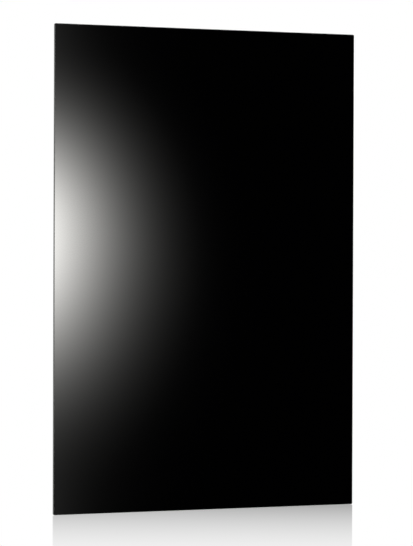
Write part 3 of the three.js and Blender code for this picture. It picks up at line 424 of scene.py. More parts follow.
def black_glass():
    """Mirror-gloss front, satin ground edges and a matt black enamel behind."""
    t = Finish("black_glass", ior=1.52)
    facing = t.split(t.node("ShaderNodeNewGeometry").outputs["True Normal"])["Y"]
    edge = t.ramp(t.math("ABSOLUTE", facing), 0.9, 0.8)
    back = t.ramp(facing, 0.8, 0.9)
    ground = t.noise(t.coordinates((1.0, 14.0, 1.0)), 900.0, 3.0, 0.7)
    enamel = t.noise(t.coordinates(), 160.0, 4.0, 0.7)
    smear = t.noise(t.coordinates((1.0, 1.0, 0.45)), 7.0, 5.0, 0.6)
    face_colour = rgb(0.0003, 0.0003, 0.0004)
    edge_colour = t.mix(ground, rgb(0.0030, 0.0046, 0.0042), rgb(0.0065, 0.0095, 0.0088))
    back_colour = t.mix(enamel, grey(0.0062), grey(0.0085))
    t.feed(t.inputs["Base Color"], t.mix(back, t.mix(edge, face_colour, edge_colour), back_colour))
    face_gloss = t.ramp(smear, 0.45, 0.75, 0.006, 0.016)
    edge_gloss = t.ramp(ground, 0.3, 0.7, 0.2, 0.32)
    back_gloss = t.ramp(enamel, 0.3, 0.7, 0.42, 0.55)
    gloss = t.plus(face_gloss, t.times(edge, edge_gloss))
    t.feed(t.inputs["Roughness"], t.plus(gloss, t.times(back, back_gloss)))
    t.relief(t.noise(t.coordinates((1.0, 1.0, 2.2)), 5.0, 1.0, 0.4), 0.006 * MM)
    return t.material


def powder_coat():
    """Fine-textured graphite powder coat with a faint sparkle, painted as lighter specks in its colour:
    painted glints.
    """
    t = Finish("coated_steel")
    t.tone((0.030, 0.031, 0.033), mottle=0.07, scale=5.0)
    t.gloss(0.46, spread=0.08)
    place = t.coordinates()
    t.relief(t.times(t.voronoi(place, 620.0, "SMOOTH_F1"), t.noise(place, 1500.0, 2.0, 0.6)), 0.2 * MM)
    # Painted glints: lighter specks mixed into the base colour stand in for the coat's sparkle.
    t.overlay(t.ramp(t.noise(place, 2600.0, 1.0), 0.66, 0.76, 0.0, 0.3), grey(0.10))
    return t.material


def zinc():
    """Zinc-coated sheet: crystal patches, rolled streaks along the length and a few dull marks."""
    t = Finish("zinc_plate", metallic=1.0)
    t.tone((0.58, 0.60, 0.62), mottle=0.04)
    t.grain(1400.0, 0.006 * MM)
    place = t.coordinates()
    crystal = t.split(t.voronoi(t.vector("ADD", place, (0.0, 0.37, 0.0)), 150.0, output="Color"))["X"]
    streak = t.noise(t.coordinates((1.0, 40.0, 60.0)), 9.0, 3.0, 0.6)
    patch = t.ramp(crystal, 0.0, 1.0, 0.93, 1.05)
    line = t.ramp(streak, 0.3, 0.7, 0.93, 1.05)
    t.overlay(1.0, t.times(patch, line), "MULTIPLY")
    dull = t.ramp(t.noise(place, 28.0, 4.0, 0.7), 0.55, 0.75, 0.0, 0.14)
    t.feed(t.inputs["Roughness"], t.plus(t.ramp(crystal, 0.0, 1.0, 0.31, 0.39), dull))
    return t.material


def moulded(name, colour, roughness, grain=1500.0, depth=0.03 * MM):
    """Moulded plastic with a spark-eroded texture."""
    t = Finish(name)
    t.tone(colour, mottle=0.06)
    t.gloss(roughness, spread=0.1)
    place = t.coordinates()
    t.relief(t.plus(t.noise(place, grain, 2.0, 0.6), t.voronoi(place, 0.7 * grain)), depth, 0.7)
    return t.material


def rubber(name, colour, roughness):
    """Rubber with a faint dusty bloom."""
    t = Finish(name)
    t.tone(colour, mottle=0.08)
    t.gloss(roughness, spread=0.08)
    t.grain(700.0, 0.03 * MM)
    t.overlay(t.ramp(t.noise(t.coordinates(), 60.0, 5.0, 0.7), 0.5, 0.8, 0.0, 0.5), grey(0.035))
    return t.material


def turned_metal(name, colour, roughness):
    """Turned or pressed metal with fine rings of tool marks."""
    t = Finish(name, metallic=1.0)
    t.tone(colour, mottle=0.05)
    t.gloss(roughness, spread=0.2)
    t.relief(t.noise(t.coordinates((1.0, 9.0, 1.0)), 1300.0, 2.0, 0.6), 0.012 * MM)
    return t.material


def crumpled_foil():
    t = Finish("reflector_foil", metallic=1.0)
    t.tone((0.86, 0.87, 0.88), mottle=0.03)
    t.gloss(0.2, spread=0.3)
    crease = t.voronoi(t.coordinates(), 60.0, "DISTANCE_TO_EDGE")
    t.relief(t.plus(crease, t.noise(t.coordinates(), 25.0, 5.0, 0.6, 0.6)), 1.2 * MM, 0.6)
    return t.material


def wool():
    """Mineral wool: crossing fibres and darker binder patches."""
    t = Finish("mineral_wool")
    t.tone((0.50, 0.44, 0.27), mottle=0.22, scale=40.0)
    t.gloss(0.95)
    fibres = t.plus(t.noise(t.coordinates((1.0, 3.0, 9.0)), 320.0, 4.0, 0.7),
                    t.noise(t.coordinates((9.0, 3.0, 1.0)), 300.0, 4.0, 0.7))
    t.relief(fibres, 0.9 * MM)
    t.overlay(t.ramp(fibres, 0.7, 1.3), rgb(0.68, 0.63, 0.45))
    return t.material


def heated_alloy():
    """Resistance alloy with patches of purple heat tint."""
    t = plain("resistance_alloy", (0.42, 0.38, 0.34), 0.36, metallic=1.0, grain=1200.0)
    t.overlay(t.ramp(t.noise(t.coordinates(), 22.0, 4.0, 0.6), 0.4, 0.65), rgb(0.33, 0.27, 0.30))
    return t.material


EARTH_BARREL = 8.0 * MM  # from the earth nut's top to the top of the ring terminal's barrel
EARTH_STRIPES = 1900.0  # radians of the stripes' wave in a metre of lead


def striped_lead():
    """Green and yellow insulation, with the tinned ring terminal below it."""
    t = plain("lead_earth", (0.10, 0.30, 0.05), 0.42)
    x, _, z = t.split(t.coordinates())
    wave = t.math("SINE", t.times(t.plus(x, z), EARTH_STRIPES))
    t.overlay(t.ramp(wave, -0.1, 0.1), rgb(0.72, 0.56, 0.04))
    metal = t.math("LESS_THAN", z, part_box("earth_nut")[1].z + EARTH_BARREL)
    t.overlay(metal, grey(0.62))
    t.feed(t.inputs["Metallic"], metal)
    return t.material


FINISHES = {
    "black_glass": black_glass(),
    "silicone": rubber("silicone", (0.010, 0.010, 0.011), 0.42),
    "insulating_film": plain("insulating_film", (0.52, 0.27, 0.06), 0.3, spread=0.2).material,
    "resistance_alloy": heated_alloy(),
    "reflector_foil": crumpled_foil(),
    "mineral_wool": wool(),
    "coated_steel": powder_coat(),
    "zinc_plate": zinc(),
    "screw_steel": turned_metal("screw_steel", (0.60, 0.61, 0.63), 0.27),
    "rubber": rubber("rubber", (0.011, 0.011, 0.011), 0.68),
    "box_plastic": moulded("box_plastic", (0.017, 0.017, 0.018), 0.40),
    "gland_plastic": moulded("gland_plastic", (0.014, 0.014, 0.015), 0.33, 1100.0, 0.012 * MM),
    "block_plastic": moulded("block_plastic", (0.75, 0.71, 0.62), 0.42, 1000.0, 0.01 * MM),
    "brass": turned_metal("brass", (0.76, 0.54, 0.22), 0.25),
    "limiter_plastic": moulded("limiter_plastic", (0.035, 0.016, 0.008), 0.38),
    "lead_brown": plain("lead_brown", (0.095, 0.036, 0.014), 0.4).material,
    "lead_blue": plain("lead_blue", (0.016, 0.10, 0.36), 0.4).material,
    "lead_earth": striped_lead(),
    "nylon": plain("nylon", (0.80, 0.79, 0.73), 0.36, mottle=0.04).material,
}

# ---- Mesh building. Lengths from here on are in millimetres.

WELD = 0.004 * MM
SHARP = math.radians(32.0)  # edges that turn by more stay sharp, or are bevelled


def filleted(corners, steps=5):
    """A path through (a, b, radius) corners, each rounded to its radius."""
    path = []
    for i, (a, b, radius) in enumerate(corners):
        corner = Vector((a, b))
        if radius <= 0.0 or i in (0, len(corners) - 1):
            path.append(corner)
            continue
        before = Vector(corners[i - 1][:2]) - corner
        after = Vector(corners[i + 1][:2]) - corner
        half = before.angle(after) / 2
        cut = min(radius / math.tan(half), 0.49 * before.length, 0.49 * after.length)
        before.normalize()
        after.normalize()
        centre = (before + after).normalized() * (cut / math.cos(half))
        spoke, last = before * cut - centre, after * cut - centre
        turn = math.atan2(spoke.x * last.y - spoke.y * last.x, spoke.dot(last))
        for step in range(steps + 1):
            path.append(corner + centre + Matrix.Rotation(turn * step / steps, 2) @ spoke)
    return path


def rounded_rectangle(width, height, radius, centre=(0.0, 0.0), steps=8):
    """A function that gives the outline drawn in by an inset, always with as many points."""

    def outline(inset=0.0):
        w, h = width / 2 - inset, height / 2 - inset
        r = max(radius - inset, 0.05)
        points = []
        for quarter, (sx, sz) in enumerate(((1, 1), (-1, 1), (-1, -1), (1, -1))):
            for step in range(steps + 1):
                angle = math.pi / 2 * (quarter + step / steps)
                points.append(Vector((centre[0] + sx * (w - r) + r * math.cos(angle),
                                      centre[1] + sz * (h - r) + r * math.sin(angle))))
        return [p for i, p in enumerate(points) if (p - points[i - 1]).length > 1e-6]

    return outline


def circle(radius, centre, segments=32):
    """A function that gives the circle drawn in by an inset."""

    def outline(inset=0.0):
        angles = [2 * math.pi * k / segments for k in range(segments)]
        r = radius - inset
        return [Vector((centre[0] + r * math.cos(a), centre[1] + r * math.sin(a))) for a in angles]

    return outline


class Surface:
    """Points and faces of a closed surface that is built ring by ring."""

    def __init__(self):
        self.points, self.faces = [], []

    def ring(self, points):
        start = len(self.points)
        self.points += [tuple(p) for p in points]
        return range(start, len(self.points))

    def level(self, outline, y):
        """A ring drawn in X and Z, at a depth."""
        return self.ring([(x, y, z) for x, z in outline])

    def bridge(self, *rings):
        for a, b in zip(rings, rings[1:]):
            count = len(a)
            self.faces += [(a[k], a[(k + 1) % count], b[(k + 1) % count], b[k]) for k in range(count)]

    def cap(self, ring):
        self.faces.append(tuple(ring))

    def fill(self, *rings):
        """Triangles over a flat ring with holes in it."""
        index = [i for ring in rings for i in ring]
        polygons = [[Vector(self.points[i]) for i in ring] for ring in rings]
        self.faces += [tuple(index[k] for k in triangle) for triangle in tessellate_polygon(polygons)]

    def finished(self, name):
        mesh = bpy.data.meshes.new(name)
        mesh.from_pydata([tuple(c * MM for c in p) for p in self.points], [], self.faces)
        bm = bmesh.new()
        bm.from_mesh(mesh)
        bmesh.ops.remove_doubles(bm, verts=bm.verts, dist=WELD)
        bmesh.ops.recalc_face_normals(bm, faces=bm.faces)
        bm.to_mesh(mesh)
        bm.free()
        made = bpy.data.objects.new(name, mesh)
        scene.collection.objects.link(made)
        return made


def skinned(name, rings, loop=False):
    """A skin through rings of as many points, closed by a cap at each end or into a loop."""
    surface = Surface()
    made = [surface.ring(ring) for ring in rings]
    surface.bridge(*made, *([made[0]] if loop else []))
    if not loop:
        surface.cap(made[0])
        surface.cap(made[-1])
    return surface.finished(name)


def stacked(name, outline, profile, loop=False, upright=False):
    """An outline at each (inset, level) of a profile, which lies in X and Z, or in X and Y when upright."""
    rings = []
    for inset, level in profile:
        rings.append([(a, b, level) if upright else (a, level, b) for a, b in outline(inset)])
    return skinned(name, rings, loop)


def turned(name, profile, centre, segments=48, loop=False, upright=False, shape=None):
    """A solid of revolution with a (radius, level) profile.

    A shape(radius, angle, level) may change the radius.
    """
    rings = []
    for radius, level in profile:
        ring = []
        for k in range(segments):
            angle = 2 * math.pi * k / segments
            r = shape(radius, angle, level) if shape else radius
            a, b = centre[0] + r * math.cos(angle), centre[1] + r * math.sin(angle)
            ring.append((a, b, level) if upright else (a, level, b))
        rings.append(ring)
    return skinned(name, rings, loop)


def folded(line, thickness, bend):
    """The closed section of a sheet folded along a centre line, with rounded bends."""
    left, right_side = [], []
    centre_line = filleted([(a, b, bend + thickness / 2) for a, b in line], 8)
    for i, point in enumerate(centre_line):
        before = centre_line[max(i - 1, 0)]
        after = centre_line[min(i + 1, len(centre_line) - 1)]
        heading = (point - before).normalized() + (after - point).normalized()
        side = Vector((-heading.y, heading.x)).normalized() * (thickness / 2)
        left.append(point + side)
        right_side.append(point - side)
    return left + right_side[::-1]


def along_x(name, section, x0, x1):
    """A closed section in Y and Z, extruded along X."""
    return skinned(name, [[(x, y, z) for y, z in section] for x in (x0, x1)])


def combined(base, tools, operation="DIFFERENCE"):
    """Cuts the tools from the base or joins them to it, and removes them."""
    for tool in tools:
        step = base.modifiers.new("step", "BOOLEAN")
        step.operation, step.solver, step.object = operation, "EXACT", tool
    bpy.context.view_layer.update()
    result = bpy.data.meshes.new_from_object(base.evaluated_get(bpy.context.evaluated_depsgraph_get()))
    base.modifiers.clear()
    base.data = result
    for tool in tools:
        bpy.data.objects.remove(tool)
    return base


def placed(piece, slot, body, *replaced, bevel=0.0):
    """Shades a piece, with a small bevel if it has one, gives it its finish and body, and hides the CAD nodes
    it stands in for.
    """
    piece.data.materials.clear()
    piece.data.materials.append(FINISHES[slot])
    piece.data.shade_smooth()
    piece.data.set_sharp_from_angle(angle=SHARP)
    if bevel:
        edge = piece.modifiers.new("edge", "BEVEL")
        edge.width, edge.segments, edge.limit_method = bevel * MM, 2, "ANGLE"
        edge.angle_limit = SHARP
        edge.harden_normals = True
    else:
        piece.modifiers.new("even", "WEIGHTED_NORMAL").keep_sharp = True
    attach(piece, body)
    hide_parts(*replaced)


def box_of(node):
    """The node's lowest and highest corner."""
    low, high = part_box(node)
    return low / MM, high / MM


def middle_of(node):
    low, high = box_of(node)
    return (low + high) / 2


def plan_of(node):
    """The middle of a node in X and Z."""
    middle = middle_of(node)
    return (middle.x, middle.z)


# ---- Glass, bead and tray

GLASS = Sizes(corner=2.5, arris=0.7)
BEAD = Sizes(width=10.0, corner=19.0, sag=0.5)
TRAY = Sizes(flange=12.0, corner=9.0, sheet=0.8, rim=0.3, foot=1.2, press=1.5, flat=3.0)
RIB = Sizes(count=6, pitch=76.0, width=18.0, rise=2.0, end_gap=46.0, shoulder=3.4, foot=0.25, steps=10)
TRAY_HOLES = {"cleat_rivet": 2.4, "wall_bumper": 3.3, "box_fixing_screw": 1.9, "tray_grommet": 6.3}


def outline_of(node, radius, steps=12):
    low, high = box_of(node)
    return rounded_rectangle(high.x - low.x, high.z - low.z, radius, plan_of(node), steps)


def glass_plate():
    low, high = box_of("glass_front")
    arris = GLASS.arris
    profile = [(arris, low.y), (0.0, low.y + arris), (0.0, high.y - arris), (arris, high.y)]
    made = stacked("glass_plate", outline_of("glass_front", GLASS.corner), profile)
    placed(made, "black_glass", "panel", "glass_front")


def silicone_bead():
    """The bead's sides are drawn in a little, as a squeezed bead's are after it is tooled."""
    low, high = box_of("adhesive_bead")
    steps = 6
    outer = []
    for step in range(steps + 1):
        dip = BEAD.sag * math.sin(math.pi * step / steps)
        outer.append((dip, low.y + (high.y - low.y) * step / steps))
    inner = [(BEAD.width - dip, y) for dip, y in reversed(outer)]
    made = stacked("silicone_bead", outline_of("adhesive_bead", BEAD.corner), outer + inner, loop=True)
    placed(made, "silicone", "panel", "adhesive_bead")


def rib_outline(x):
    over = RIB.width / 2 - RIB.end_gap
    top = box_of("upper_wall_rail")[0].z + over
    bottom = box_of("lower_wall_rail")[1].z - over
    return rounded_rectangle(RIB.width, top - bottom, RIB.width / 2, (x, (top + bottom) / 2), 10)


def pressed_tray():
    """A closed sheet: flange, wall and back with their press radii, and ribs pressed out of the back."""
    low, high = box_of("rear_tray")
    sheet, wall = TRAY.sheet, TRAY.flange
    back = high.y - RIB.rise
    flat = wall + TRAY.flat
    rim = (0.0, low.y + sheet / 2, 0.0)
    outer = filleted([rim, (0.0, low.y + sheet, TRAY.rim), (wall, low.y + sheet, TRAY.foot),
                      (wall, back, TRAY.press), (flat, back, 0.0)])
    inner = filleted([rim, (0.0, low.y, TRAY.rim), (wall + sheet, low.y, TRAY.foot + sheet),
                      (wall + sheet, back - sheet, TRAY.press - sheet), (flat, back - sheet, 0.0)])
    outline = outline_of("rear_tray", TRAY.corner + wall)
    surface = Surface()
    rings = [surface.level(outline(inset), y) for inset, y in inner[::-1] + outer[1:]]
    surface.bridge(*rings)
    skins = {back - sheet: [rings[0]], back: [rings[-1]]}

    rib_x = [(k - (RIB.count - 1) / 2) * RIB.pitch for k in range(RIB.count)]
    for y, edges in skins.items():
        for x in rib_x:
            rib = rib_outline(x)
            levels = []
            for step in range(RIB.steps + 1):
                s = step / RIB.steps
                inset = RIB.shoulder * (s - RIB.foot)
                levels.append(surface.level(rib(inset), y + RIB.rise * s * s * (3 - 2 * s)))
            surface.bridge(*levels)
            surface.cap(levels[-1])
            edges.append(levels[0])
    for node in nodes:
        for family, radius in TRAY_HOLES.items():
            if node.startswith(family):
                hole = circle(radius, plan_of(node), 24)
                pair = [surface.level(hole(), y) for y in skins]
                surface.bridge(*pair)
                for edges, ring in zip(skins.values(), pair):
                    edges.append(ring)
    for edges in skins.values():
        surface.fill(*edges)
    placed(surface.finished("pressed_tray"), "coated_steel", "panel", "rear_tray")


# ---- Wall rails, cleats and rivets

HOOK = Sizes(sheet=2.0, bend=1.2, web=36.0, lip=12.0, play=1.2, edge=0.22)
WALL_SLOT = Sizes(length=14.0, width=6.0, x=(-150.0, -75.0, 75.0, 150.0))
NOTCH = Sizes(width=16.0, corner=1.5)
RIVET = Sizes(
    shank=2.1, head=4.2, head_height=1.3, rim=0.7, crown=0.62, mandrel=1.15, dimple=0.55, dimple_edge=0.25,
    tail=3.0, tail_length=1.6, hole=2.4,
)
PIN_HOLE = 2.8
OVERRUN = 1.0  # how far a cutter runs past what it cuts


def bore(radius, centre, low, high, upright=False):
    return stacked("cutter", circle(radius, centre), [(0.0, low), (0.0, high)], upright=upright)


def wall_rail(node, notched):
    low, high = box_of(node)
    sheet, half = HOOK.sheet, HOOK.sheet / 2
    shelf = high.z - HOOK.lip
    line = [(high.y - half, low.z), (high.y - half, shelf - half),
            (low.y + half, shelf - half), (low.y + half, high.z)]
    strip = along_x(f"{node}_strip", folded(line, sheet, HOOK.bend), low.x, high.x)
    cutters = []
    for x in WALL_SLOT.x:
        slot = rounded_rectangle(WALL_SLOT.length, WALL_SLOT.width, WALL_SLOT.width / 2,
                                 (x, low.z + HOOK.web / 2))
        cutters.append(stacked("cutter", slot, [(0.0, high.y - sheet - OVERRUN), (0.0, high.y + OVERRUN)]))
    if notched:
        front, rear = low.y - OVERRUN, high.y - sheet - HOOK.bend
        for side in ("left", "right"):
            notch = rounded_rectangle(NOTCH.width, rear - front, NOTCH.corner,
                                      (middle_of(f"lock_pin_{side}").x, (front + rear) / 2))
            profile = [(0.0, shelf - sheet - OVERRUN), (0.0, high.z + OVERRUN)]
            cutters.append(stacked("cutter", notch, profile, upright=True))
    placed(combined(strip, cutters), "zinc_plate", "wall_rails", node, bevel=HOOK.edge)


def cleat(node, rivets, pins):
    low, high = box_of(node)
    sheet, half = HOOK.sheet, HOOK.sheet / 2
    line = [(low.y + half, low.z), (low.y + half, high.z - half), (high.y - half, high.z - half),
            (high.y - half, low.z + HOOK.web + HOOK.play)]
    strip = along_x(f"{node}_strip", folded(line, sheet, HOOK.bend), low.x, high.x)
    reach = (low.y - OVERRUN, low.y + sheet + OVERRUN)
    cutters = [bore(RIVET.hole, plan_of(rivet), *reach) for rivet in rivets]
    cutters += [bore(PIN_HOLE, plan_of(pin), *reach) for pin in pins]
    placed(combined(strip, cutters), "zinc_plate", "panel", node, bevel=HOOK.edge)


def blind_rivet(node):
    """A domed head with the snapped mandrel in its hole, and the bulb behind the sheet."""
    low, high = box_of(node)
    shank, head, tail, mandrel = RIVET.shank, RIVET.head, RIVET.tail, RIVET.mandrel
    seat, bulb = high.y - RIVET.head_height, low.y + RIVET.tail_length
    profile = filleted([(mandrel, low.y, 0.0), (tail, low.y, 1.2), (tail, bulb, 0.2), (shank, bulb, 0.0)])
    profile.append((shank, seat))
    profile += filleted([(head, seat, 0.0), (head, seat + RIVET.rim, 0.5), (RIVET.crown * head, high.y, 1.6),
                         (mandrel + RIVET.dimple_edge, high.y, 0.2),
                         (mandrel, high.y - RIVET.dimple, 0.0)])
    placed(turned(f"{node}_domed", profile, plan_of(node), 40), "screw_steel", "panel", node)


# ---- Lift-off locks and bumpers

LEVER = Sizes(
    hub=5.5, hub_end=0.35, width=9.0, sheet=2.0, bend=2.0, bore=2.6, tab_corner=2.6, edge=0.2, hub_steps=24,
    corner_steps=10,
)
PIN = Sizes(
    shank=2.5, shoulder=4.0, head=4.5, head_height=1.4, dimple=1.9, dimple_floor=1.6, dimple_depth=0.4,
)
WASHER_BORE = 2.8
BUMPER = Sizes(
    stem=3.0, nose=1.2, nose_flat=0.45, bulb=4.4, bulb_length=2.4, radius=12.0, shoulder=0.7, tip=9.5,
    base=4.0, round=1.8, dish=3.8, dish_bottom=2.8, dish_depth=1.0, centre=0.4,
)


def lever_half_width(run, length):
    """Half the strip's width at a run along its centre line, from the hub's top to the tab's end."""
    from_pivot = run - LEVER.hub
    half = LEVER.width / 2
    across = math.sqrt(max(LEVER.hub ** 2 - from_pivot ** 2, 0.0))
    if from_pivot < 0.0:
        return max(across, LEVER.hub_end)
    corner = LEVER.tab_corner
    into = corner - (length - run)
    if into > 0.0:
        return half - corner + math.sqrt(max(corner ** 2 - into ** 2, 0.0))
    return max(across, half)


def lock_lever(word):
    """A flat strip with a round hub, whose lower end is folded towards the room as a tab."""
    node = f"lock_lever_{word}"
    low, high = box_of(node)
    half = LEVER.sheet / 2
    x, pivot = (low.x + high.x) / 2, high.z - LEVER.hub
    back = high.y - half
    line = [(back, high.z, 0.0), (back, low.z + half, LEVER.bend), (low.y, low.z + half, 0.0)]
    bends = filleted(line, 10)
    runs = [0.0]
    for a, b in zip(bends, bends[1:]):
        runs.append(runs[-1] + (b - a).length)
    length = runs[-1]
    hub_steps, corner_steps = LEVER.hub_steps, LEVER.corner_steps
    stops = [LEVER.hub * (1 - math.cos(math.pi * k / hub_steps)) for k in range(hub_steps + 1)] + runs[1:-1]
    stops += [length - LEVER.tab_corner * (1 - math.sin(math.pi / 2 * k / corner_steps))
              for k in range(corner_steps + 1)]
    rings = []
    for run in sorted(stops):
        i = max(k for k in range(len(runs) - 1) if runs[k] <= run + 1e-9)
        share = (run - runs[i]) / (runs[i + 1] - runs[i])
        y, z = bends[i].lerp(bends[i + 1], share)
        ahead = (bends[i + 1] - bends[i]).normalized()
        if run in runs[1:-1]:
            ahead = (ahead + (bends[i] - bends[i - 1]).normalized()).normalized()
        w = lever_half_width(run, length)
        side = Vector((-ahead.y, ahead.x)) * half
        rings.append([(x - w, y + side.x, z + side.y), (x + w, y + side.x, z + side.y),
                      (x + w, y - side.x, z - side.y), (x - w, y - side.x, z - side.y)])
    strip = skinned(f"{node}_strip", rings)
    hole = bore(LEVER.bore, (x, pivot), high.y - LEVER.sheet - OVERRUN, high.y + OVERRUN)
    placed(combined(strip, [hole]), "zinc_plate", f"lock_{word}", node, bevel=LEVER.edge)


def lock_pin(word):
    node = f"lock_pin_{word}"
    low, high = box_of(node)
    seat = high.y - PIN.head_height
    washer = box_of(f"lock_washer_{word}")[0].y
    cleat_face = box_of("lower_cleat")[0].y + HOOK.sheet + SEAT
    shank, shoulder, head = PIN.shank, PIN.shoulder, PIN.head
    profile = [(shank, low.y), (shank, cleat_face), (shoulder, cleat_face), (shoulder, washer - SEAT),
               (shank, washer - SEAT)]
    profile += filleted([(shank, seat, 0.0), (head, seat, 0.15), (head, high.y, 0.6),
                         (PIN.dimple, high.y, 0.15),
                         (PIN.dimple_floor, high.y - PIN.dimple_depth, 0.0)])
    placed(turned(f"{node}_turned", profile, plan_of(node)), "screw_steel", "panel", node)


def lock_washer(word):
    node = f"lock_washer_{word}"
    low, high = box_of(node)
    radius = (high.x - low.x) / 2
    outer = filleted([(WASHER_BORE, low.y, 0.0), (radius, low.y, 0.2), (radius, high.y, 0.2),
                      (WASHER_BORE, high.y, 0.0)], 3)
    made = turned(f"{node}_round", outer, plan_of(node), loop=True)
    placed(made, "nylon", "panel", node)


def wall_bumper(word):
    """A moulded rubber foot: a pull-through bulb, a stepped base and a dished tip."""
    node = f"wall_bumper_{word}"
    low, high = box_of(node)
    bulb_end = low.y + BUMPER.bulb_length
    base = box_of("junction_box")[0].y  # the box stands on the tray's back as the bumper does
    step, dish_floor = base + BUMPER.base, high.y - BUMPER.dish_depth
    bulb, stem, radius = BUMPER.bulb, BUMPER.stem, BUMPER.radius
    profile = filleted([(BUMPER.nose, low.y, 0.0), (BUMPER.nose_flat * bulb, low.y, 0.4),
                        (bulb, bulb_end, 0.3), (stem, bulb_end, 0.2), (stem, base, 0.2), (radius, base, 0.3),
                        (radius, step, 0.5), (radius - BUMPER.shoulder, step, 0.3),
                        (BUMPER.tip, high.y, BUMPER.round), (BUMPER.dish, high.y, 0.5),
                        (BUMPER.dish_bottom, dish_floor, 0.5), (BUMPER.centre, dish_floor, 0.0)], 6)
    placed(turned(f"{node}_moulded", profile, plan_of(node), 56), "rubber", "panel", node)


# ---- Junction box, lid, screws and gland

BOX = Sizes(
    wall=2.0, corner=5.0, edge=1.0, floor_inset=3.0, boss=3.6, boss_root=0.5, boss_drop=0.1, pilot=1.5,
)
BOX_HOLES = {
    "box_fixing_screw_left": 1.9, "box_fixing_screw_right": 1.9, "tray_grommet": 8.5, "earth_stud": 2.3,
}
LID = Sizes(back_inset=4.0, edge=0.8, field=10.5, field_slope=0.7, field_flat=3.0, field_depth=0.5)
SCREW = Sizes(
    tip=0.5, tip_length=1.4, shank=1.2, head=2.6, head_height=1.3, head_edge=0.2, crown=0.6, cross=1.45,
    cross_half=0.34, cross_taper=0.25, cross_draft=0.6, cross_depth=0.8,
)
GLAND = Sizes(
    bore=3.4, thread=5.7, hex=7.3, hex_height=4.0, chamfer=0.55, chamfer_rise=0.33, inlet=6.0, lead_in=0.5,
    dome=1.1, dome_end=0.4, thread_play=0.3, undercut=2.0, ribs=18, rib_depth=0.16, rib_top=0.5, rib_foot=1.2,
)


def lid_screws():
    return [f"lid_screw_{k}" for k in range(1, 5)]


def junction_box():
    low, high = box_of("junction_box")
    wall, inset = BOX.wall, BOX.floor_inset
    profile = filleted([(inset, low.y, 0.0), (0.0, low.y, BOX.edge), (0.0, high.y, 0.25),
                        (wall, high.y, 0.25), (wall, low.y + wall, 0.6), (inset, low.y + wall, 0.0)], 4)
    shell = stacked("junction_box_shell", outline_of("junction_box", BOX.corner, 10), profile)
    levels = [(0.0, low.y + BOX.boss_root), (0.0, high.y - BOX.boss_drop)]
    bosses = [stacked("boss", circle(BOX.boss, plan_of(screw)), levels) for screw in lid_screws()]
    combined(shell, bosses, "UNION")
    cutters = [bore(BOX.pilot, plan_of(screw), low.y + wall + OVERRUN, high.y + OVERRUN)
               for screw in lid_screws()]
    for node, radius in BOX_HOLES.items():
        cutters.append(bore(radius, plan_of(node), low.y - OVERRUN, low.y + wall + OVERRUN))
    gland = middle_of("gland_body")
    cutters.append(bore(GLAND.inlet, (gland.x, gland.y), low.z - OVERRUN, low.z + wall + OVERRUN, True))
    placed(combined(shell, cutters), "box_plastic", "panel", "junction_box")


def box_lid():
    """A lid with a rounded edge and a shallow sunk field between its screws."""
    low, high = box_of("junction_box_lid")
    field, field_y = LID.field, high.y - LID.field_depth
    profile = filleted([(LID.back_inset, low.y, 0.0), (0.0, low.y, 0.25), (0.0, high.y, LID.edge),
                        (field, high.y, 0.4), (field + LID.field_slope, field_y, 0.4),
                        (field + LID.field_flat, field_y, 0.0)], 5)
    lid = stacked("junction_box_cover", outline_of("junction_box_lid", BOX.corner, 10), profile)
    reach = (low.y - OVERRUN, high.y + OVERRUN)
    cutters = [bore(BOX.pilot, plan_of(screw), *reach) for screw in lid_screws()]
    placed(combined(lid, cutters), "box_plastic", "panel", "junction_box_lid")


def pan_head_screw(node, tilt):
    """A pan head with a tapered cross recess, turned by an angle so that no two screws look alike."""
    low, high = box_of(node)
    seat = high.y - SCREW.head_height
    shank, head, crown = SCREW.shank, SCREW.head, SCREW.crown
    profile = filleted([(SCREW.tip, low.y, 0.0), (shank, low.y + SCREW.tip_length, 0.2),
                        (shank, seat, 0.0), (head, seat, 0.15), (head, high.y - SCREW.head_edge, 0.8),
                        (crown, high.y, 0.0)], 6)
    screw = turned(f"{node}_pan", profile, plan_of(node), 40)
    x, z = plan_of(node)

    def cross(inset):
        reach, half = SCREW.cross - inset, SCREW.cross_half - SCREW.cross_taper * inset
        arm = [Vector((half, -half)), Vector((reach, -half)), Vector((reach, half))]
        turns = [Matrix.Rotation(tilt + k * math.pi / 2, 2) for k in range(4)]
        return [Vector((x, z)) + turn @ corner for turn in turns for corner in arm]

    recess = stacked("cutter", cross, [(0.0, high.y + OVERRUN), (0.0, high.y),
                                       (SCREW.cross_draft, high.y - SCREW.cross_depth)])
    placed(combined(screw, [recess]), "screw_steel", "panel", node)


def hexagonal(radius, angle):
    """A radius held inside the gland's hexagon, which has a corner on the X axis."""
    sixth = math.pi / 3
    return min(radius, GLAND.hex * math.cos(sixth / 2) / math.cos(angle % sixth - sixth / 2))


def gland_body():
    low, high = box_of("gland_body")
    box_bottom = box_of("junction_box")[0].z
    top = box_bottom - SEAT
    bottom = top - GLAND.hex_height
    bevel, rise, lead_in = GLAND.chamfer, GLAND.chamfer_rise, GLAND.lead_in
    corner, thread, inner = GLAND.hex, GLAND.thread, GLAND.bore
    profile = [(inner, low.z), (thread, low.z), (thread, bottom), (corner - bevel, bottom),
               (corner, bottom + rise), (corner, top - rise), (corner - bevel, top),
               (thread, top), (thread, high.z - lead_in), (thread - lead_in, high.z), (inner, high.z)]
    middle = middle_of("gland_body")
    made = turned("gland_hexagon", profile, (middle.x, middle.y), 96, loop=True, upright=True,
                  shape=lambda r, angle, level: hexagonal(r, angle))
    placed(made, "gland_plastic", "panel", "gland_body")


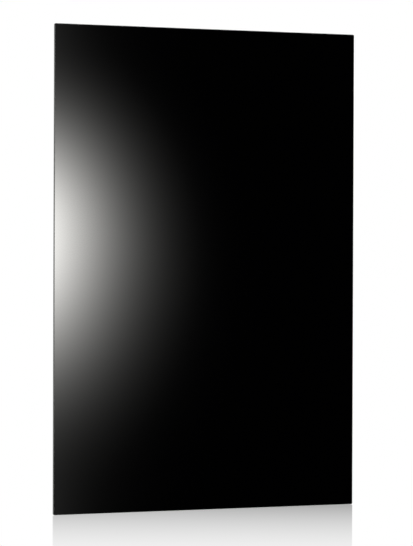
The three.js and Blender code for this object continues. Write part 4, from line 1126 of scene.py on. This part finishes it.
def gland_cap():
    """The upper half is a hexagon for a spanner and the lower half a dome with fine grip ribs."""
    low, high = box_of("gland_cap")
    half_way = (low.z + high.z) / 2
    seal = box_of("gland_seal")[0].z
    bevel, rise, lead_in = GLAND.chamfer, GLAND.chamfer_rise, GLAND.lead_in
    corner, thread, inner = GLAND.hex, GLAND.thread, GLAND.bore
    inner_thread = thread + GLAND.thread_play
    dome = filleted([(corner, half_way + rise, 0.0), (thread + GLAND.dome, half_way - 0.4, 0.5),
                     (thread + GLAND.dome_end, low.z + 0.4, 1.6), (inner + lead_in, low.z, 0.4),
                     (inner, low.z + lead_in, 0.0)], 6)
    profile = [(inner_thread, high.z), (corner - bevel, high.z), (corner, high.z - rise), *dome,
               (inner, seal - SEAT), (thread - lead_in, seal - SEAT), (inner_thread, seal + GLAND.undercut)]

    def shape(radius, angle, level):
        """Ribs on the dome's side, and a hexagon wherever the radius passes its flats."""
        if half_way - GLAND.rib_top > level > low.z + GLAND.rib_foot and radius > thread:
            return radius - GLAND.rib_depth * (1 - math.cos(GLAND.ribs * angle))
        return hexagonal(radius, angle)

    middle = middle_of("gland_cap")
    made = turned("gland_dome", profile, (middle.x, middle.y), 144, loop=True, upright=True, shape=shape)
    placed(made, "gland_plastic", "panel", "gland_cap")


# ---- The whole heater

for part in record["subparts"]:
    surface_of = nodes[part["node"]].data
    surface_of.materials.clear()
    surface_of.materials.append(FINISHES[part["material_slot"]])

glass_plate()
silicone_bead()
pressed_tray()
rivet_nodes = [f"cleat_rivet_{k}" for k in range(1, 9)]
for node in rivet_nodes:
    blind_rivet(node)
wall_rail("upper_wall_rail", notched=False)
wall_rail("lower_wall_rail", notched=True)
upper = [node for node in rivet_nodes if plan_of(node)[1] > plan_of("lower_cleat")[1] + HOOK.web]
lower = [node for node in rivet_nodes if node not in upper]
cleat("upper_cleat", upper, [])
cleat("lower_cleat", lower, ["lock_pin_left", "lock_pin_right"])
for word in ("left", "right"):
    lock_pin(word)
    lock_washer(word)
    lock_lever(word)
    wall_bumper(word)
junction_box()
box_lid()
for k, node in enumerate(lid_screws()):
    pan_head_screw(node, tilt=0.4 + 1.1 * k)
gland_body()
gland_cap()
